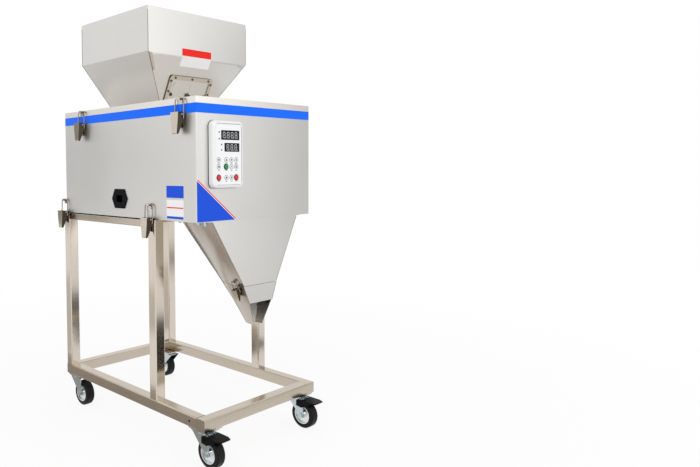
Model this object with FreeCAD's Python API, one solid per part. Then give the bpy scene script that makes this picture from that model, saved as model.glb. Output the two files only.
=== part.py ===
import FreeCAD, Part
import math
import os

from FreeCAD import Matrix, Placement, Rotation, Vector

# Weighing filling machine on a wheeled stand.
# X is the width, Y the depth with the front at -Y, Z up from the floor.
# The origin is on the floor under the middle of the base. All sizes are in millimetres.

# Stand
BASE_WIDTH = 420.0
BASE_LENGTH = 640.0
TUBE = 30.0
TUBE_WALL = 1.5
TUBE_CORNER = 3.0
CASTER_HEIGHT = 95.0
FRAME_TOP = 599.0
FRONT_LEG_SETBACK = 185.0
TOP_RAIL_HEIGHT = 20.0
MIDDLE_RAIL_GAP = 8.0
GUSSET_SIDE = 59.0
GUSSET_INSET = 3.0
GUSSET_THICKNESS = 3.0
VENT_HOLE_RADIUS = 3.0
VENT_HOLE_SETBACK = 56.0

# Box on the stand, its gasket and its lid
GASKET_THICKNESS = 2.5
GASKET_WIDTH = 12.0
GASKET_INSET = 0.0
BOX_OVERHANG = 2.0
BOX_WIDTH = BASE_WIDTH + 2 * BOX_OVERHANG
BOX_FRONT_SETBACK = 19.0
BOX_REAR_SETBACK = 17.0
BOX_HEIGHT = 286.0
SHEET = 1.5
BOX_CORNER = 3.0
RIM_FLANGE = 14.0
LID_HEIGHT = 15.5

# Hopper
HOPPER_WIDTH = 368.0
HOPPER_DEPTH = 325.0
HOPPER_CENTRE_Y = 79.5
HOPPER_BAND_HEIGHT = 119.0
HOPPER_TAPER_HEIGHT = 182.0
OUTLET_WIDTH = 116.8
OUTLET_DEPTH = 198.0
OUTLET_CENTRE_Y = 107.0
HOPPER_ABOVE_LID = 139.0
HEM_HEIGHT = 9.0
LID_OPENING_GAP = 0.3

# Gate on the front slope of the hopper
GATE_CENTRE = -8.0
SLOT_PITCH = 62.0
GATE_EDGE = 9.0
GATE_WIDTH = 2 * (SLOT_PITCH + GATE_EDGE)
GATE_TOP = 62.0
GATE_LENGTH = 138.0
GATE_THICKNESS = 1.5
GATE_GAP = 0.3
GUIDE_OVERLAP = 9.0
GUIDE_WIDTH = GATE_WIDTH + 2 * GUIDE_OVERLAP
GUIDE_TOP = 57.0
GUIDE_LENGTH = 84.0
GUIDE_STRIP = 12.0
GUIDE_CORNER = 9.0
SLOT_TOP = 78.0
SLOT_LENGTH = 38.0
STUD_RADIUS = 3.0
SLOT_CLEARANCE = 0.3
KNOB_RADIUS = 7.0
KNOB_HEIGHT = 7.0
STUD_HEAD_RADIUS = 5.0
STUD_HEAD_HEIGHT = 3.0
SCREW_HEAD_RADIUS = 3.4
SCREW_HEAD_HEIGHT = 2.2

# Discharge chute and nozzle
CHUTE_TOP_WIDTH = 317.0
CHUTE_TOP_DEPTH = 254.0
CHUTE_FRONT_SETBACK = 2.0
CHUTE_HEIGHT = 170.0
CHUTE_LEAN = 11.0
SEAM_WIDTH = 124.0
SEAM_DEPTH = 134.0
SEAM_GAP = 0.8
MOUTH_HEIGHT = 46.0
MOUTH_WIDTH = 86.0
MOUTH_DEPTH = 98.0
MOUTH_LEAN = 2.0
LIP_HEIGHT = 62.0
LIP_WIDTH = 31.0
LIP_DEPTH = 44.0
LIP_LEAN = -9.0
CHUTE_FLANGE = 14.0
FLANGE_NUT_RADIUS = 6.0
FLANGE_NUT_HEIGHT = 7.0
FLANGE_NUT_DEGREES = (4, 10, 35, 90, 145, 170, 176)
WALL_SCREW_SETBACK = 118.0
WALL_SCREW_PITCH = 11.0
WALL_SCREW_RISE = 30.0

# Toggle latches. U is out from the wall, W along it, Z up. The lever pin is at U = PIN_OUT, Z = 0.
LEVER_PIN_OUT = 8.0
LEVER_PIN_RADIUS = 2.0
BAIL_PIN_IN = 1.5
BAIL_PIN_DOWN = 10.0
BAIL_REACH = 48.0
BAIL_WIRE_RADIUS = 1.5
BAIL_BEND_RADIUS = 5.0
HOOK_OUT = 4.0
LATCH_PLATE_LENGTH = 36.0
LATCH_PLATE_ABOVE = 4.0
LATCH_SHEET = 1.5
LEVER_LENGTH = 48.0
LEVER_WEB_OUT = 20.5
LEVER_TIP_SHARE = 0.62
PIN_CLEARANCE = 0.05
HOOK_REST_GAP = 0.4
HOOK_LIP_OUT = 7.8
HOOK_LIP_HEIGHT = 5.0
LID_LATCH_WIDTH = 29.0
FRAME_LATCH_WIDTH = 28.0
NOZZLE_LATCH_WIDTH = 30.0
NOZZLE_LATCH_SCALE = 0.62
NOZZLE_LATCH_SETBACK = 26.0
NOZZLE_LATCH_DROP = 8.0
NOZZLE_LATCH_LIFT = 1.6
LID_LATCH_FRONT_SETBACK = 54.0
LID_LATCH_REAR_SETBACK = 103.0
FRAME_LATCH_RISE = 2.0
FRAME_LATCH_REAR_SETBACK = 15.0

# Control panel on the front wall
PANEL_WIDTH = 105.0
PANEL_HEIGHT = 164.0
PANEL_DEPTH = 18.0
PANEL_CORNER = 14.0
PANEL_EDGE_RADIUS = 7.0
PANEL_LEFT = 39.0
PANEL_DROP = 40.5
PANEL_BORDER = 7.0
PANEL_RECESS = 3.0
FILM_THICKNESS = 1.2
KEY_RADIUS = 6.0
KEY_PROUD = 1.8
KEY_TRAVEL = 1.2
KEY_CLEARANCE = 0.3
KEY_FLANGE = 1.5
WINDOW_HEIGHT = 20.0
WINDOW_WIDTH = 62.0
SMALL_WINDOW_WIDTH = 51.0
WINDOW_THICKNESS = 1.0

# Mains inlet on the left wall
INLET_WIDTH = 71.0
INLET_FLAT = 44.0
INLET_HEIGHT = 53.0
INLET_FLANGE = 2.5
INLET_BODY_WIDTH = 40.0
INLET_BODY_HEIGHT = 34.0
INLET_BODY_DEPTH = 26.0
INLET_RECESS_WIDTH = 27.0
INLET_RECESS_HEIGHT = 19.0
INLET_RECESS_DEPTH = 18.0
INLET_Y = 15.5
INLET_RISE = 49.0

# Casters
CASTER_INSET_X = 30.0
CASTER_INSET_Y = 30.0
CASTER_PLATE = 54.0
CASTER_PLATE_THICKNESS = 2.5
SWIVEL_RING_RADIUS = 24.0
SWIVEL_RING_HEIGHT = 5.5
KINGPIN_RADIUS = 5.0
CROWN_RADIUS = 25.0
FORK_REAR = 30.0
FORK_FRONT = 26.0
FORK_FOOT = 8.5
FORK_SHEET = 2.5
FORK_GAP = 31.0
WHEEL_DIAMETER = 75.0
TYRE_WIDTH = 26.0
TYRE_SHOULDER = 5.0
HUB_RADIUS = 25.0
HUB_WIDTH = 29.0
TRAIL = 22.0
AXLE_RADIUS = 4.0
RUNNING_CLEARANCE = 0.05
PEDAL_REACH = 72.0
PEDAL_WIDTH = 32.0
PEDAL_THICKNESS = 3.5
PEDAL_PIVOT_FORWARD = 15.0
PEDAL_PIVOT_DROP = 9.0
PEDAL_PIN_RADIUS = 2.5
PEDAL_CHEEK = 3.0
PEDAL_CHEEK_DROP = 14.0
PEDAL_GAP = 0.3

# Vibrating feeder inside the box
TROUGH_WIDTH = 168.0
TROUGH_LENGTH = 378.0
TROUGH_REAR = 229.0
TROUGH_HEIGHT = 56.0
TROUGH_SHEET = 2.0
TROUGH_RISE = 212.0
SPRING_WIDTH = 60.0
SPRING_THICKNESS = 2.0
SPRING_LENGTH = 134.0
SPRING_TILT = 15.0
SPRING_SPACING = 130.0
SPRING_GAP = 0.7
CARRIER_BEHIND = 34.0
FEEDER_BLOCK_WIDTH = 90.0
FEEDER_BLOCK_LENGTH = 176.0
FEEDER_BLOCK_HEIGHT = 88.0
FEEDER_WAIST_DEPTH = 40.0
FEEDER_WAIST_HALF = 38.0
CORE_PROUD = 4.0
FEEDER_CENTRE_Y = 122.0
COIL_SIZE = 46.0
COIL_LENGTH = 30.0
CORE_SIZE = 26.0
AIR_GAP = 2.0

# Weighing bucket, its door and what opens it
BUCKET_WIDTH = 182.0
BUCKET_DEPTH = 118.0
BUCKET_REAR = -118.0
BUCKET_TOP_RISE = 178.0
BUCKET_WALL_HEIGHT = 86.0
BUCKET_TAPER_HEIGHT = 46.0
BUCKET_OUTLET_WIDTH = 120.0
BUCKET_OUTLET_DEPTH = 74.0
DOOR_THICKNESS = 1.5
DOOR_GAP = 0.6
DOOR_OVERLAP = 3.0
HINGE_BEHIND = 10.0
HINGE_ABOVE = 7.0
HINGE_PIN_RADIUS = 2.5
DOOR_SWING = 55.0
CRANK_RADIUS = 25.0
CRANK_OUT = 12.0
ROLLER_RADIUS = 4.0
ROD_RADIUS = 3.0
ROD_PAD_RADIUS = 5.0
ROD_PAD_THICKNESS = 3.0
ROD_GAP = 0.5
SOLENOID_SIZE = 32.0
SOLENOID_LENGTH = 44.0
LOAD_CELL_SIDE = 16.0
STAND_HALF = 60.0
STAND_THICKNESS = 3.0
STAND_Y = -24.0
STAND_FOOT = 26.0

# Case of the control electronics, on the box's floor
CASE_WIDTH = 96.0
CASE_LENGTH = 150.0
CASE_HEIGHT = 52.0
CASE_CORNER = 4.0
CASE_EDGE = 2.5
CASE_WALL_GAP = 20.0
CASE_REAR_GAP = 58.0

# Derived places
BASE_BOTTOM = CASTER_HEIGHT
BASE_TOP = BASE_BOTTOM + TUBE
HALF_W = BASE_WIDTH / 2
HALF_BOX = BOX_WIDTH / 2
HALF_L = BASE_LENGTH / 2
LEG_FRONT_Y = -HALF_L + FRONT_LEG_SETBACK
BOX_BOTTOM = FRAME_TOP + GASKET_THICKNESS
BOX_TOP = BOX_BOTTOM + BOX_HEIGHT
LID_TOP = BOX_TOP + LID_HEIGHT
BOX_FRONT = -HALF_L + BOX_FRONT_SETBACK
BOX_REAR = HALF_L - BOX_REAR_SETBACK
FLOOR_TOP = BOX_BOTTOM + SHEET
BAND_BOTTOM = LID_TOP + HOPPER_ABOVE_LID
BAND_TOP = BAND_BOTTOM + HOPPER_BAND_HEIGHT
HOPPER_FRONT = HOPPER_CENTRE_Y - HOPPER_DEPTH / 2
HOPPER_REAR = HOPPER_CENTRE_Y + HOPPER_DEPTH / 2
OUTLET_FRONT = OUTLET_CENTRE_Y - OUTLET_DEPTH / 2
OUTLET_REAR = OUTLET_CENTRE_Y + OUTLET_DEPTH / 2
OUTLET_Z = BAND_BOTTOM - HOPPER_TAPER_HEIGHT
CHUTE_TOP = BOX_BOTTOM - SHEET
CHUTE_FRONT = BOX_FRONT + CHUTE_FRONT_SETBACK
SEAM_Z = CHUTE_TOP - CHUTE_HEIGHT
MOUTH_Z = SEAM_Z - MOUTH_HEIGHT
LIP_Z = MOUTH_Z - LIP_HEIGHT

SIDES = (("left", -1), ("right", 1))
ENDS = (("front", -1), ("rear", 1))


def box(x0, x1, y0, y1, z0, z1):
    """A block between two corners."""
    return Part.makeBox(x1 - x0, y1 - y0, z1 - z0, Vector(x0, y0, z0))


def rounded_rect(width, height, radius):
    """A rectangle with round corners, centred on the origin in the XY plane."""
    w, h, r = width / 2, height / 2, radius
    k = r * math.sqrt(0.5)
    corners = ((w - r, h - r, 1, 1), (-w + r, h - r, -1, 1), (-w + r, -h + r, -1, -1), (w - r, -h + r, 1, -1))
    edges = []
    last = None
    first = None
    for cx, cy, sx, sy in corners:
        flat_side = Vector(cx + sx * r, cy, 0)
        flat_end = Vector(cx, cy + sy * r, 0)
        start, end = (flat_side, flat_end) if sx * sy > 0 else (flat_end, flat_side)
        if last is not None:
            edges.append(Part.LineSegment(last, start).toShape())
        else:
            first = start
        edges.append(Part.Arc(start, Vector(cx + sx * k, cy + sy * k, 0), end).toShape())
        last = end
    edges.append(Part.LineSegment(last, first).toShape())
    return Part.Wire(edges)


def rounded_slab(width, height, radius, thickness):
    """A plate with round corners that rises from the XY plane."""
    return Part.Face(rounded_rect(width, height, radius)).extrude(Vector(0, 0, thickness))


def polygon(points, thickness):
    """A flat plate from an outline in the XY plane."""
    wire = Part.makePolygon([Vector(x, y, 0) for x, y in points] + [Vector(points[0][0], points[0][1], 0)])
    return Part.Face(wire).extrude(Vector(0, 0, thickness))


def moved(shape, x=0.0, y=0.0, z=0.0):
    """A shifted copy."""
    out = shape.copy()
    out.translate(Vector(x, y, z))
    return out


def turned(shape, degrees, axis=(0, 0, 1), about=(0, 0, 0)):
    """A turned copy."""
    out = shape.copy()
    out.rotate(Vector(*about), Vector(*axis), degrees)
    return out


def mirrored_x(shape):
    """A copy mirrored from left to right."""
    return shape.mirror(Vector(0, 0, 0), Vector(1, 0, 0))


def disc(radius, x, y, z, height, axis=(0, 0, 1)):
    """A round bar from a centre point along an axis."""
    return Part.makeCylinder(radius, height, Vector(x, y, z), Vector(*axis))


def save(name, *solids):
    """Write one sub-part as its own file."""
    shape = solids[0] if len(solids) == 1 else Part.makeCompound(list(solids))
    shape.exportStep("parts/" + name + ".step")


# Stand

def tube(length, width, height):
    """A square tube with open ends along local Z, centred on its axis."""
    outer = rounded_slab(width, height, TUBE_CORNER, length)
    half, rise = width / 2 - TUBE_WALL, height / 2 - TUBE_WALL
    inner = box(-half, half, -rise, rise, 0, length)
    return outer.cut(inner)


def tube_x(x0, x1, y, z, height=TUBE):
    """A tube along X between two ends."""
    return moved(turned(tube(x1 - x0, height, TUBE), 90, (0, 1, 0)), x0, y, z)


def tube_y(y0, y1, x, z, height=TUBE):
    """A tube along Y between two ends."""
    return moved(turned(tube(y1 - y0, TUBE, height), -90, (1, 0, 0)), x, y0, z)


def end_cap(x, y, z, along):
    """The plate that closes a tube's end, flush with it. The axis is that of the tube, pointing out."""
    side = TUBE - 2 * TUBE_WALL
    cap = box(-side / 2, side / 2, -side / 2, side / 2, -TUBE_WALL, 0)
    if along[0]:
        cap = turned(cap, 90 * along[0], (0, 1, 0))
    elif along[1]:
        cap = turned(cap, -90 * along[1], (1, 0, 0))
    return moved(cap, x, y, z)


def base_frame():
    """Four tubes: the right one runs full length, the left one stands between the end ones."""
    half = TUBE / 2
    z = BASE_BOTTOM + half
    right = tube_y(-HALF_L, HALF_L, HALF_W - half, z)
    front = tube_x(-HALF_W, HALF_W - TUBE, -HALF_L + half, z)
    rear = tube_x(-HALF_W, HALF_W - TUBE, HALF_L - half, z)
    left = tube_y(-HALF_L + TUBE, HALF_L - TUBE, -HALF_W + half, z)
    vent = disc(VENT_HOLE_RADIUS, -HALF_W - 1, -HALF_L + VENT_HOLE_SETBACK, z, TUBE_WALL + 2, (1, 0, 0))
    solids = [right, front, rear, left.cut(vent)]
    solids.append(end_cap(HALF_W - half, -HALF_L, z, (0, -1)))
    solids.append(end_cap(HALF_W - half, HALF_L, z, (0, 1)))
    for _, end in ENDS:
        solids.append(end_cap(-HALF_W, end * (HALF_L - half), z, (-1, 0)))
    for _, side in SIDES:
        for _, end in ENDS:
            edge_x, edge_y = HALF_W - GUSSET_INSET, HALF_L - GUSSET_INSET
            x0, x1 = sorted((side * edge_x, side * (edge_x - GUSSET_SIDE)))
            y0, y1 = sorted((end * edge_y, end * (edge_y - GUSSET_SIDE)))
            solids.append(box(x0, x1, y0, y1, BASE_BOTTOM - GUSSET_THICKNESS, BASE_BOTTOM))
    return solids


def leg_places():
    """The four legs' axes."""
    x = HALF_W - TUBE / 2
    return [(side * x, y) for side in (-1, 1) for y in (LEG_FRONT_Y + TUBE / 2, HALF_L - TUBE / 2)]


def legs():
    """Four upright tubes on the side rails, closed at the top."""
    solids = []
    for x, y in leg_places():
        solids.append(moved(tube(FRAME_TOP - BASE_TOP, TUBE, TUBE), x, y, BASE_TOP))
        solids.append(end_cap(x, y, FRAME_TOP, (0, 0)))
    return solids


def middle_rail_y():
    """The middle cross rail's axis, clear of the chute's flange."""
    return CHUTE_FRONT + CHUTE_TOP_DEPTH + CHUTE_FLANGE + MIDDLE_RAIL_GAP + TUBE / 2


def top_rails():
    """Flat tubes that carry the box: two between the legs, one behind the chute and one at the rear."""
    half = TUBE / 2
    z = FRAME_TOP - TOP_RAIL_HEIGHT / 2
    solids = []
    for _, side in SIDES:
        solids.append(tube_y(LEG_FRONT_Y + TUBE, HALF_L - TUBE, side * (HALF_W - half), z, TOP_RAIL_HEIGHT))
    for y in (middle_rail_y(), HALF_L - half):
        solids.append(tube_x(-HALF_W + TUBE, HALF_W - TUBE, y, z, TOP_RAIL_HEIGHT))
    return solids


def box_gasket():
    """Rubber strips on the top rails, under the box."""
    x = HALF_W - GASKET_INSET
    y0 = LEG_FRONT_Y + GASKET_INSET
    y1 = BOX_REAR - GASKET_INSET
    w = GASKET_WIDTH
    middle = middle_rail_y() - w / 2
    strips = [box(-x, -x + w, y0, y1, FRAME_TOP, BOX_BOTTOM), box(x - w, x, y0, y1, FRAME_TOP, BOX_BOTTOM)]
    for y in (middle, y1 - w):
        strips.append(box(-x + w, x - w, y, y + w, FRAME_TOP, BOX_BOTTOM))
    return strips[0].multiFuse(strips[1:]).removeSplitter()


# Box and lid

def wall_block(inset, z0, z1):
    """The box's outline, set in by an amount, between two heights."""
    width = BOX_WIDTH - 2 * inset
    depth = BOX_REAR - BOX_FRONT - 2 * inset
    centre = (BOX_FRONT + BOX_REAR) / 2
    return moved(rounded_slab(width, depth, max(BOX_CORNER - inset, 0.5), z1 - z0), 0, centre, z0)


def housing():
    """The folded sheet box: walls, floor with the chute's opening, and an inward rim under the lid."""
    shell = wall_block(0, BOX_BOTTOM, BOX_TOP).cut(wall_block(SHEET, FLOOR_TOP, BOX_TOP))
    rim = wall_block(SHEET, BOX_TOP - SHEET, BOX_TOP).cut(wall_block(RIM_FLANGE, BOX_TOP - SHEET, BOX_TOP))
    shell = shell.fuse(rim)
    shell = shell.cut(chute_core(BOX_BOTTOM - 1, FLOOR_TOP + 1))
    shell = shell.cut(panel_cutout())
    return shell.cut(inlet_cutout())


def hopper_half_width(z):
    """Half the hopper's width at a height on its taper."""
    share = (z - OUTLET_Z) / HOPPER_TAPER_HEIGHT
    return (OUTLET_WIDTH + share * (HOPPER_WIDTH - OUTLET_WIDTH)) / 2


def hopper_front(z):
    """Where the hopper's front slope is at a height."""
    share = (z - OUTLET_Z) / HOPPER_TAPER_HEIGHT
    return OUTLET_FRONT + share * (HOPPER_FRONT - OUTLET_FRONT)


def hopper_rear(z):
    """Where the hopper's rear slope is at a height."""
    share = (z - OUTLET_Z) / HOPPER_TAPER_HEIGHT
    return OUTLET_REAR + share * (HOPPER_REAR - OUTLET_REAR)


def lid():
    """A shallow tray turned over on the box, with the opening that the hopper sits in."""
    tray = wall_block(0, BOX_TOP, LID_TOP).cut(wall_block(SHEET, BOX_TOP, LID_TOP - SHEET))
    half = hopper_half_width(LID_TOP) + LID_OPENING_GAP
    front = hopper_front(LID_TOP) - gate_depth() - 2 * LID_OPENING_GAP
    rear = hopper_rear(LID_TOP) + LID_OPENING_GAP
    return tray.cut(box(-half, half, front, rear, BOX_TOP, LID_TOP + 1))


# Hopper

def rect_loft(levels):
    """A straight-sided solid through rectangles given as x0, x1, y0, y1, z."""
    wires = []
    for x0, x1, y0, y1, z in levels:
        corners = ((x0, y0), (x1, y0), (x1, y1), (x0, y1), (x0, y0))
        points = [Vector(x, y, z) for x, y in corners]
        wires.append(Part.makePolygon(points))
    return Part.makeLoft(wires, True, True)


def hopper_form(inset, extra):
    """The hopper's outer form, set in by a wall, longer at both ends by extra."""
    w, o = HOPPER_WIDTH / 2 - inset, OUTLET_WIDTH / 2 - inset
    f, r = HOPPER_FRONT + inset, HOPPER_REAR - inset
    band = box(-w, w, f, r, BAND_BOTTOM, BAND_TOP + extra)
    outlet = (-o, o, OUTLET_FRONT + inset, OUTLET_REAR - inset, OUTLET_Z)
    taper = rect_loft((outlet, (-w, w, f, r, BAND_BOTTOM)))
    form = band.fuse(taper)
    if extra:
        form = form.fuse(box(-o, o, OUTLET_FRONT + inset, OUTLET_REAR - inset, OUTLET_Z - extra, OUTLET_Z))
    return form.removeSplitter()


def hopper():
    """A sheet band over a four-sided taper, with a folded hem at the top and studs' holes in the front."""
    shell = hopper_form(0, 0).cut(hopper_form(SHEET, 2))
    w = HOPPER_WIDTH / 2 - SHEET
    f, r = HOPPER_FRONT + SHEET, HOPPER_REAR - SHEET
    hem = box(-w, w, f, r, BAND_TOP - HEM_HEIGHT, BAND_TOP)
    hem = hem.cut(box(-w + SHEET, w - SHEET, f + SHEET, r - SHEET, BAND_TOP - HEM_HEIGHT, BAND_TOP))
    return shell.fuse(hem).removeSplitter()


def on_slope(shape):
    """From slope coordinates to the part: X from the gate's middle, Y up the slope, Z out of it."""
    drop = HOPPER_TAPER_HEIGHT
    run = OUTLET_FRONT - HOPPER_FRONT
    length = math.hypot(drop, run)
    up = Vector(0, -run / length, drop / length)
    out = Vector(1, 0, 0).cross(up)
    m = Matrix(1, up.x, out.x, GATE_CENTRE, 0, up.y, out.y, HOPPER_FRONT,
               0, up.z, out.z, BAND_BOTTOM, 0, 0, 0, 1)
    placed = shape.copy()
    placed.Placement = Placement(m).multiply(placed.Placement)
    return placed


def gate_depth():
    """How far the gate and its gap stand out in front of the slope, level with the lid."""
    lean = math.atan2(OUTLET_FRONT - HOPPER_FRONT, HOPPER_TAPER_HEIGHT)
    return (GATE_GAP + GATE_THICKNESS) / math.cos(lean)


def slot_places():
    """The slots' middles across the gate."""
    return [n * SLOT_PITCH for n in (-1, 0, 1)]


def stud_height():
    """Where the clamp studs stand on the slope when the gate is fully up."""
    return -(SLOT_TOP + SLOT_LENGTH - STUD_RADIUS - SLOT_CLEARANCE)


def hopper_gate():
    """The sliding plate with its three slots."""
    half, outer = GATE_WIDTH / 2, GATE_GAP + GATE_THICKNESS
    plate = box(-half, half, -GATE_TOP - GATE_LENGTH, -GATE_TOP, GATE_GAP, outer)
    for x in slot_places():
        radius = STUD_RADIUS + SLOT_CLEARANCE
        slot = rounded_slab(2 * radius, SLOT_LENGTH, radius - 0.001, GATE_THICKNESS + 2)
        plate = plate.cut(moved(slot, x, -SLOT_TOP - SLOT_LENGTH / 2, GATE_GAP - 1))
    return on_slope(plate)


def gate_guide():
    """A frame over the gate's edges, on spacer strips, with its screws and the clamp studs."""
    low = 2 * GATE_GAP + GATE_THICKNESS
    centre = -GUIDE_TOP - GUIDE_LENGTH / 2
    frame = rounded_slab(GUIDE_WIDTH, GUIDE_LENGTH, GUIDE_CORNER, SHEET)
    window = box(-GUIDE_WIDTH / 2 + GUIDE_STRIP, GUIDE_WIDTH / 2 - GUIDE_STRIP,
                 -GUIDE_LENGTH, GUIDE_LENGTH / 2 - GUIDE_STRIP, -1, SHEET + 1)
    solids = [moved(frame.cut(window), 0, centre, low)]
    inner = GATE_WIDTH / 2 + GATE_GAP
    for side in (-1, 1):
        x0, x1 = sorted((side * inner, side * (GUIDE_WIDTH / 2 - 1)))
        solids.append(box(x0, x1, -GUIDE_TOP - GUIDE_LENGTH, -GUIDE_TOP - GUIDE_CORNER, 0, low))
        for n in range(3):
            y = -GUIDE_TOP - GUIDE_CORNER * 1.8 - n * (GUIDE_LENGTH - 2.6 * GUIDE_CORNER) / 2
            solids.append(moved(screw_head(), side * (GUIDE_WIDTH - GUIDE_STRIP) / 2, y, low + SHEET))
    for x in slot_places():
        solids.append(moved(screw_head(), x, -GUIDE_TOP - GUIDE_STRIP / 2, low + SHEET))
        stud = disc(STUD_RADIUS, x, stud_height(), 0, low + SHEET)
        middle = x == 0
        radius = KNOB_RADIUS if middle else STUD_HEAD_RADIUS
        height = KNOB_HEIGHT if middle else STUD_HEAD_HEIGHT
        foot = Vector(x, stud_height(), GATE_GAP + low)
        solids.append(stud.fuse(Part.makeCone(radius, radius * 0.8, height, foot)))
    return [on_slope(s) for s in solids]


def screw_head():
    """A low domed screw head on the XY plane."""
    head = Part.makeCylinder(SCREW_HEAD_RADIUS, SCREW_HEAD_HEIGHT)
    rim = [e for e in head.Edges if abs(e.CenterOfMass.z - SCREW_HEAD_HEIGHT) < 1e-6]
    return head.makeFillet(SCREW_HEAD_HEIGHT * 0.7, rim)


# Chute and nozzle

def half_ellipse(front, half_width, depth, z):
    """The chute's outline at a height: a flat front and a half ellipse behind it."""
    if depth >= half_width:
        curve = Part.Ellipse(Vector(0, front + depth, z), Vector(half_width, front, z), Vector(0, front, z))
    else:
        curve = Part.Ellipse(Vector(half_width, front, z), Vector(0, front + depth, z), Vector(0, front, z))
    first = curve.parameter(Vector(half_width, front, z))
    last = curve.parameter(Vector(-half_width, front, z))
    middle = Vector(0, front + depth, z)
    arc = Part.ArcOfEllipse(curve, first, last)
    if middle.distanceToPoint(arc.value((arc.FirstParameter + arc.LastParameter) / 2)) > 1e-3:
        arc = Part.ArcOfEllipse(curve, last, first)
    edge = arc.toShape()
    ends = [edge.valueAt(edge.FirstParameter), edge.valueAt(edge.LastParameter)]
    return Part.Wire([edge, Part.LineSegment(ends[1], ends[0]).toShape()])


def chute_levels():
    """Front place, half width, depth and height of the chute's four outlines, from the top down."""
    seam_front = CHUTE_FRONT - CHUTE_LEAN
    mouth_front = seam_front - MOUTH_LEAN
    return ((CHUTE_FRONT, CHUTE_TOP_WIDTH / 2, CHUTE_TOP_DEPTH, CHUTE_TOP),
            (seam_front, SEAM_WIDTH / 2, SEAM_DEPTH, SEAM_Z),
            (mouth_front, MOUTH_WIDTH / 2, MOUTH_DEPTH, MOUTH_Z),
            (mouth_front - LIP_LEAN, LIP_WIDTH / 2, LIP_DEPTH, LIP_Z))


def funnel(upper, lower, inset):
    """A solid between two outlines, set in by a wall."""
    wires = []
    for front, half, depth, z in (upper, lower):
        wires.append(half_ellipse(front + inset, half - inset, depth - 2 * inset, z))
    return Part.makeLoft(wires, True, True)


def stretched(level, other, z):
    """The outline where the walls between two outlines reach another height."""
    share = (z - level[3]) / (other[3] - level[3])
    return tuple(level[i] + share * (other[i] - level[i]) for i in range(3)) + (z,)


def chute_core(z0, z1):
    """The clear way down through the floor, straight up from the chute's top."""
    front, half, depth, _ = chute_levels()[0]
    low = half_ellipse(front + SHEET, half - SHEET, depth - 2 * SHEET, z0)
    return Part.Face(low).extrude(Vector(0, 0, z1 - z0))


def chute():
    """The upper funnel with a flange under the box's floor."""
    top, seam = chute_levels()[:2]
    wall = funnel(top, seam, 0)
    above, below = stretched(top, seam, top[3] + SHEET), stretched(top, seam, seam[3] - 1)
    wall = wall.cut(funnel(above, below, SHEET))
    wide = half_ellipse(top[0], top[1] + CHUTE_FLANGE, top[2] + CHUTE_FLANGE, CHUTE_TOP)
    flange = Part.Face(wide).extrude(Vector(0, 0, SHEET)).cut(chute_core(CHUTE_TOP - 1, BOX_BOTTOM + 1))
    return wall.fuse(flange)


def nozzle():
    """The lower funnel, open in front under its short front wall."""
    _, seam, mouth, lip = chute_levels()
    top = stretched(seam, mouth, seam[3] - SEAM_GAP)
    outer = funnel(top, mouth, 0).fuse(funnel(mouth, lip, 0))
    over, under = stretched(seam, mouth, top[3] + 1), stretched(mouth, lip, lip[3] - 1)
    inner = funnel(over, mouth, SHEET).fuse(funnel(mouth, under, SHEET))
    shell = outer.cut(inner)
    return shell.cut(mouth_cut(mouth, lip))


def mouth_cut(mouth, lip):
    """What is cut away below the nozzle's short front wall, back to just behind its inner face."""
    far, past, under = mouth[0] - mouth[1], SHEET * 1.2, lip[3] - SHEET
    points = ((far, mouth[3]), (mouth[0] + past, mouth[3]), (lip[0] + past, lip[3]),
              (lip[0] + past, under), (far, under))
    wide = mouth[1] * 1.5
    wire = Part.makePolygon([Vector(-wide, y, z) for y, z in points + points[:1]])
    return Part.Face(wire).extrude(Vector(2 * wide, 0, 0))


# Toggle latches

class LatchFrame:
    """A latch's own frame: where its lever pin's foot is, which way is out and which way is up."""

    def __init__(self, foot, out, up, width, scale=1.0):
        self.foot, self.out, self.up = Vector(*foot), Vector(*out).normalize(), Vector(*up).normalize()
        self.width, self.scale = width, scale

    def place(self, shape):
        """From U, W, Z coordinates to the part."""
        o, w, u, f = self.out, self.up.cross(self.out), self.up, self.foot
        m = Matrix(o.x, w.x, u.x, f.x, o.y, w.y, u.y, f.y, o.z, w.z, u.z, f.z, 0, 0, 0, 1)
        placed = shape.copy()
        if self.scale != 1.0:
            placed.scale(self.scale)
        placed.Placement = Placement(m).multiply(placed.Placement)
        return placed


def side_profile(points, w0, w1):
    """A plate from an outline in the U-Z plane, between two places along W."""
    closed = list(points) + [points[0]]
    wire = Part.makePolygon([Vector(u, w0, z) for u, z in closed])
    return Part.Face(wire).extrude(Vector(0, w1 - w0, 0))


def latch_plate(width, packed):
    """The fixed plate with two ears that hold the lever's pin, packed out where it sits on a leg."""
    half = width / 2 - 5
    low = LATCH_PLATE_ABOVE - LATCH_PLATE_LENGTH
    plate = box(0, LATCH_SHEET, -half, half, low, LATCH_PLATE_ABOVE)
    if packed:
        plate = plate.fuse(box(HALF_W - HALF_BOX, 0, -half, half, low, -FRAME_LATCH_RISE))
    ear_out = LEVER_PIN_OUT + LEVER_PIN_RADIUS + 1.5
    points = ((0, -9), (LEVER_PIN_OUT, -4), (ear_out, -2), (ear_out, 2), (LEVER_PIN_OUT, 4), (0, 4))
    for side in (-1, 1):
        w0, w1 = sorted((side * half, side * (half - LATCH_SHEET)))
        plate = plate.fuse(side_profile(points, w0, w1))
    hole = disc(LEVER_PIN_RADIUS + PIN_CLEARANCE, LEVER_PIN_OUT, -width, 0, 2 * width, (0, 1, 0))
    plate = plate.cut(hole)
    for z in (low + 6, low + 17):
        plate = plate.fuse(moved(turned(screw_head(), 90, (0, 1, 0)), LATCH_SHEET, 0, z))
    return plate


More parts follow.
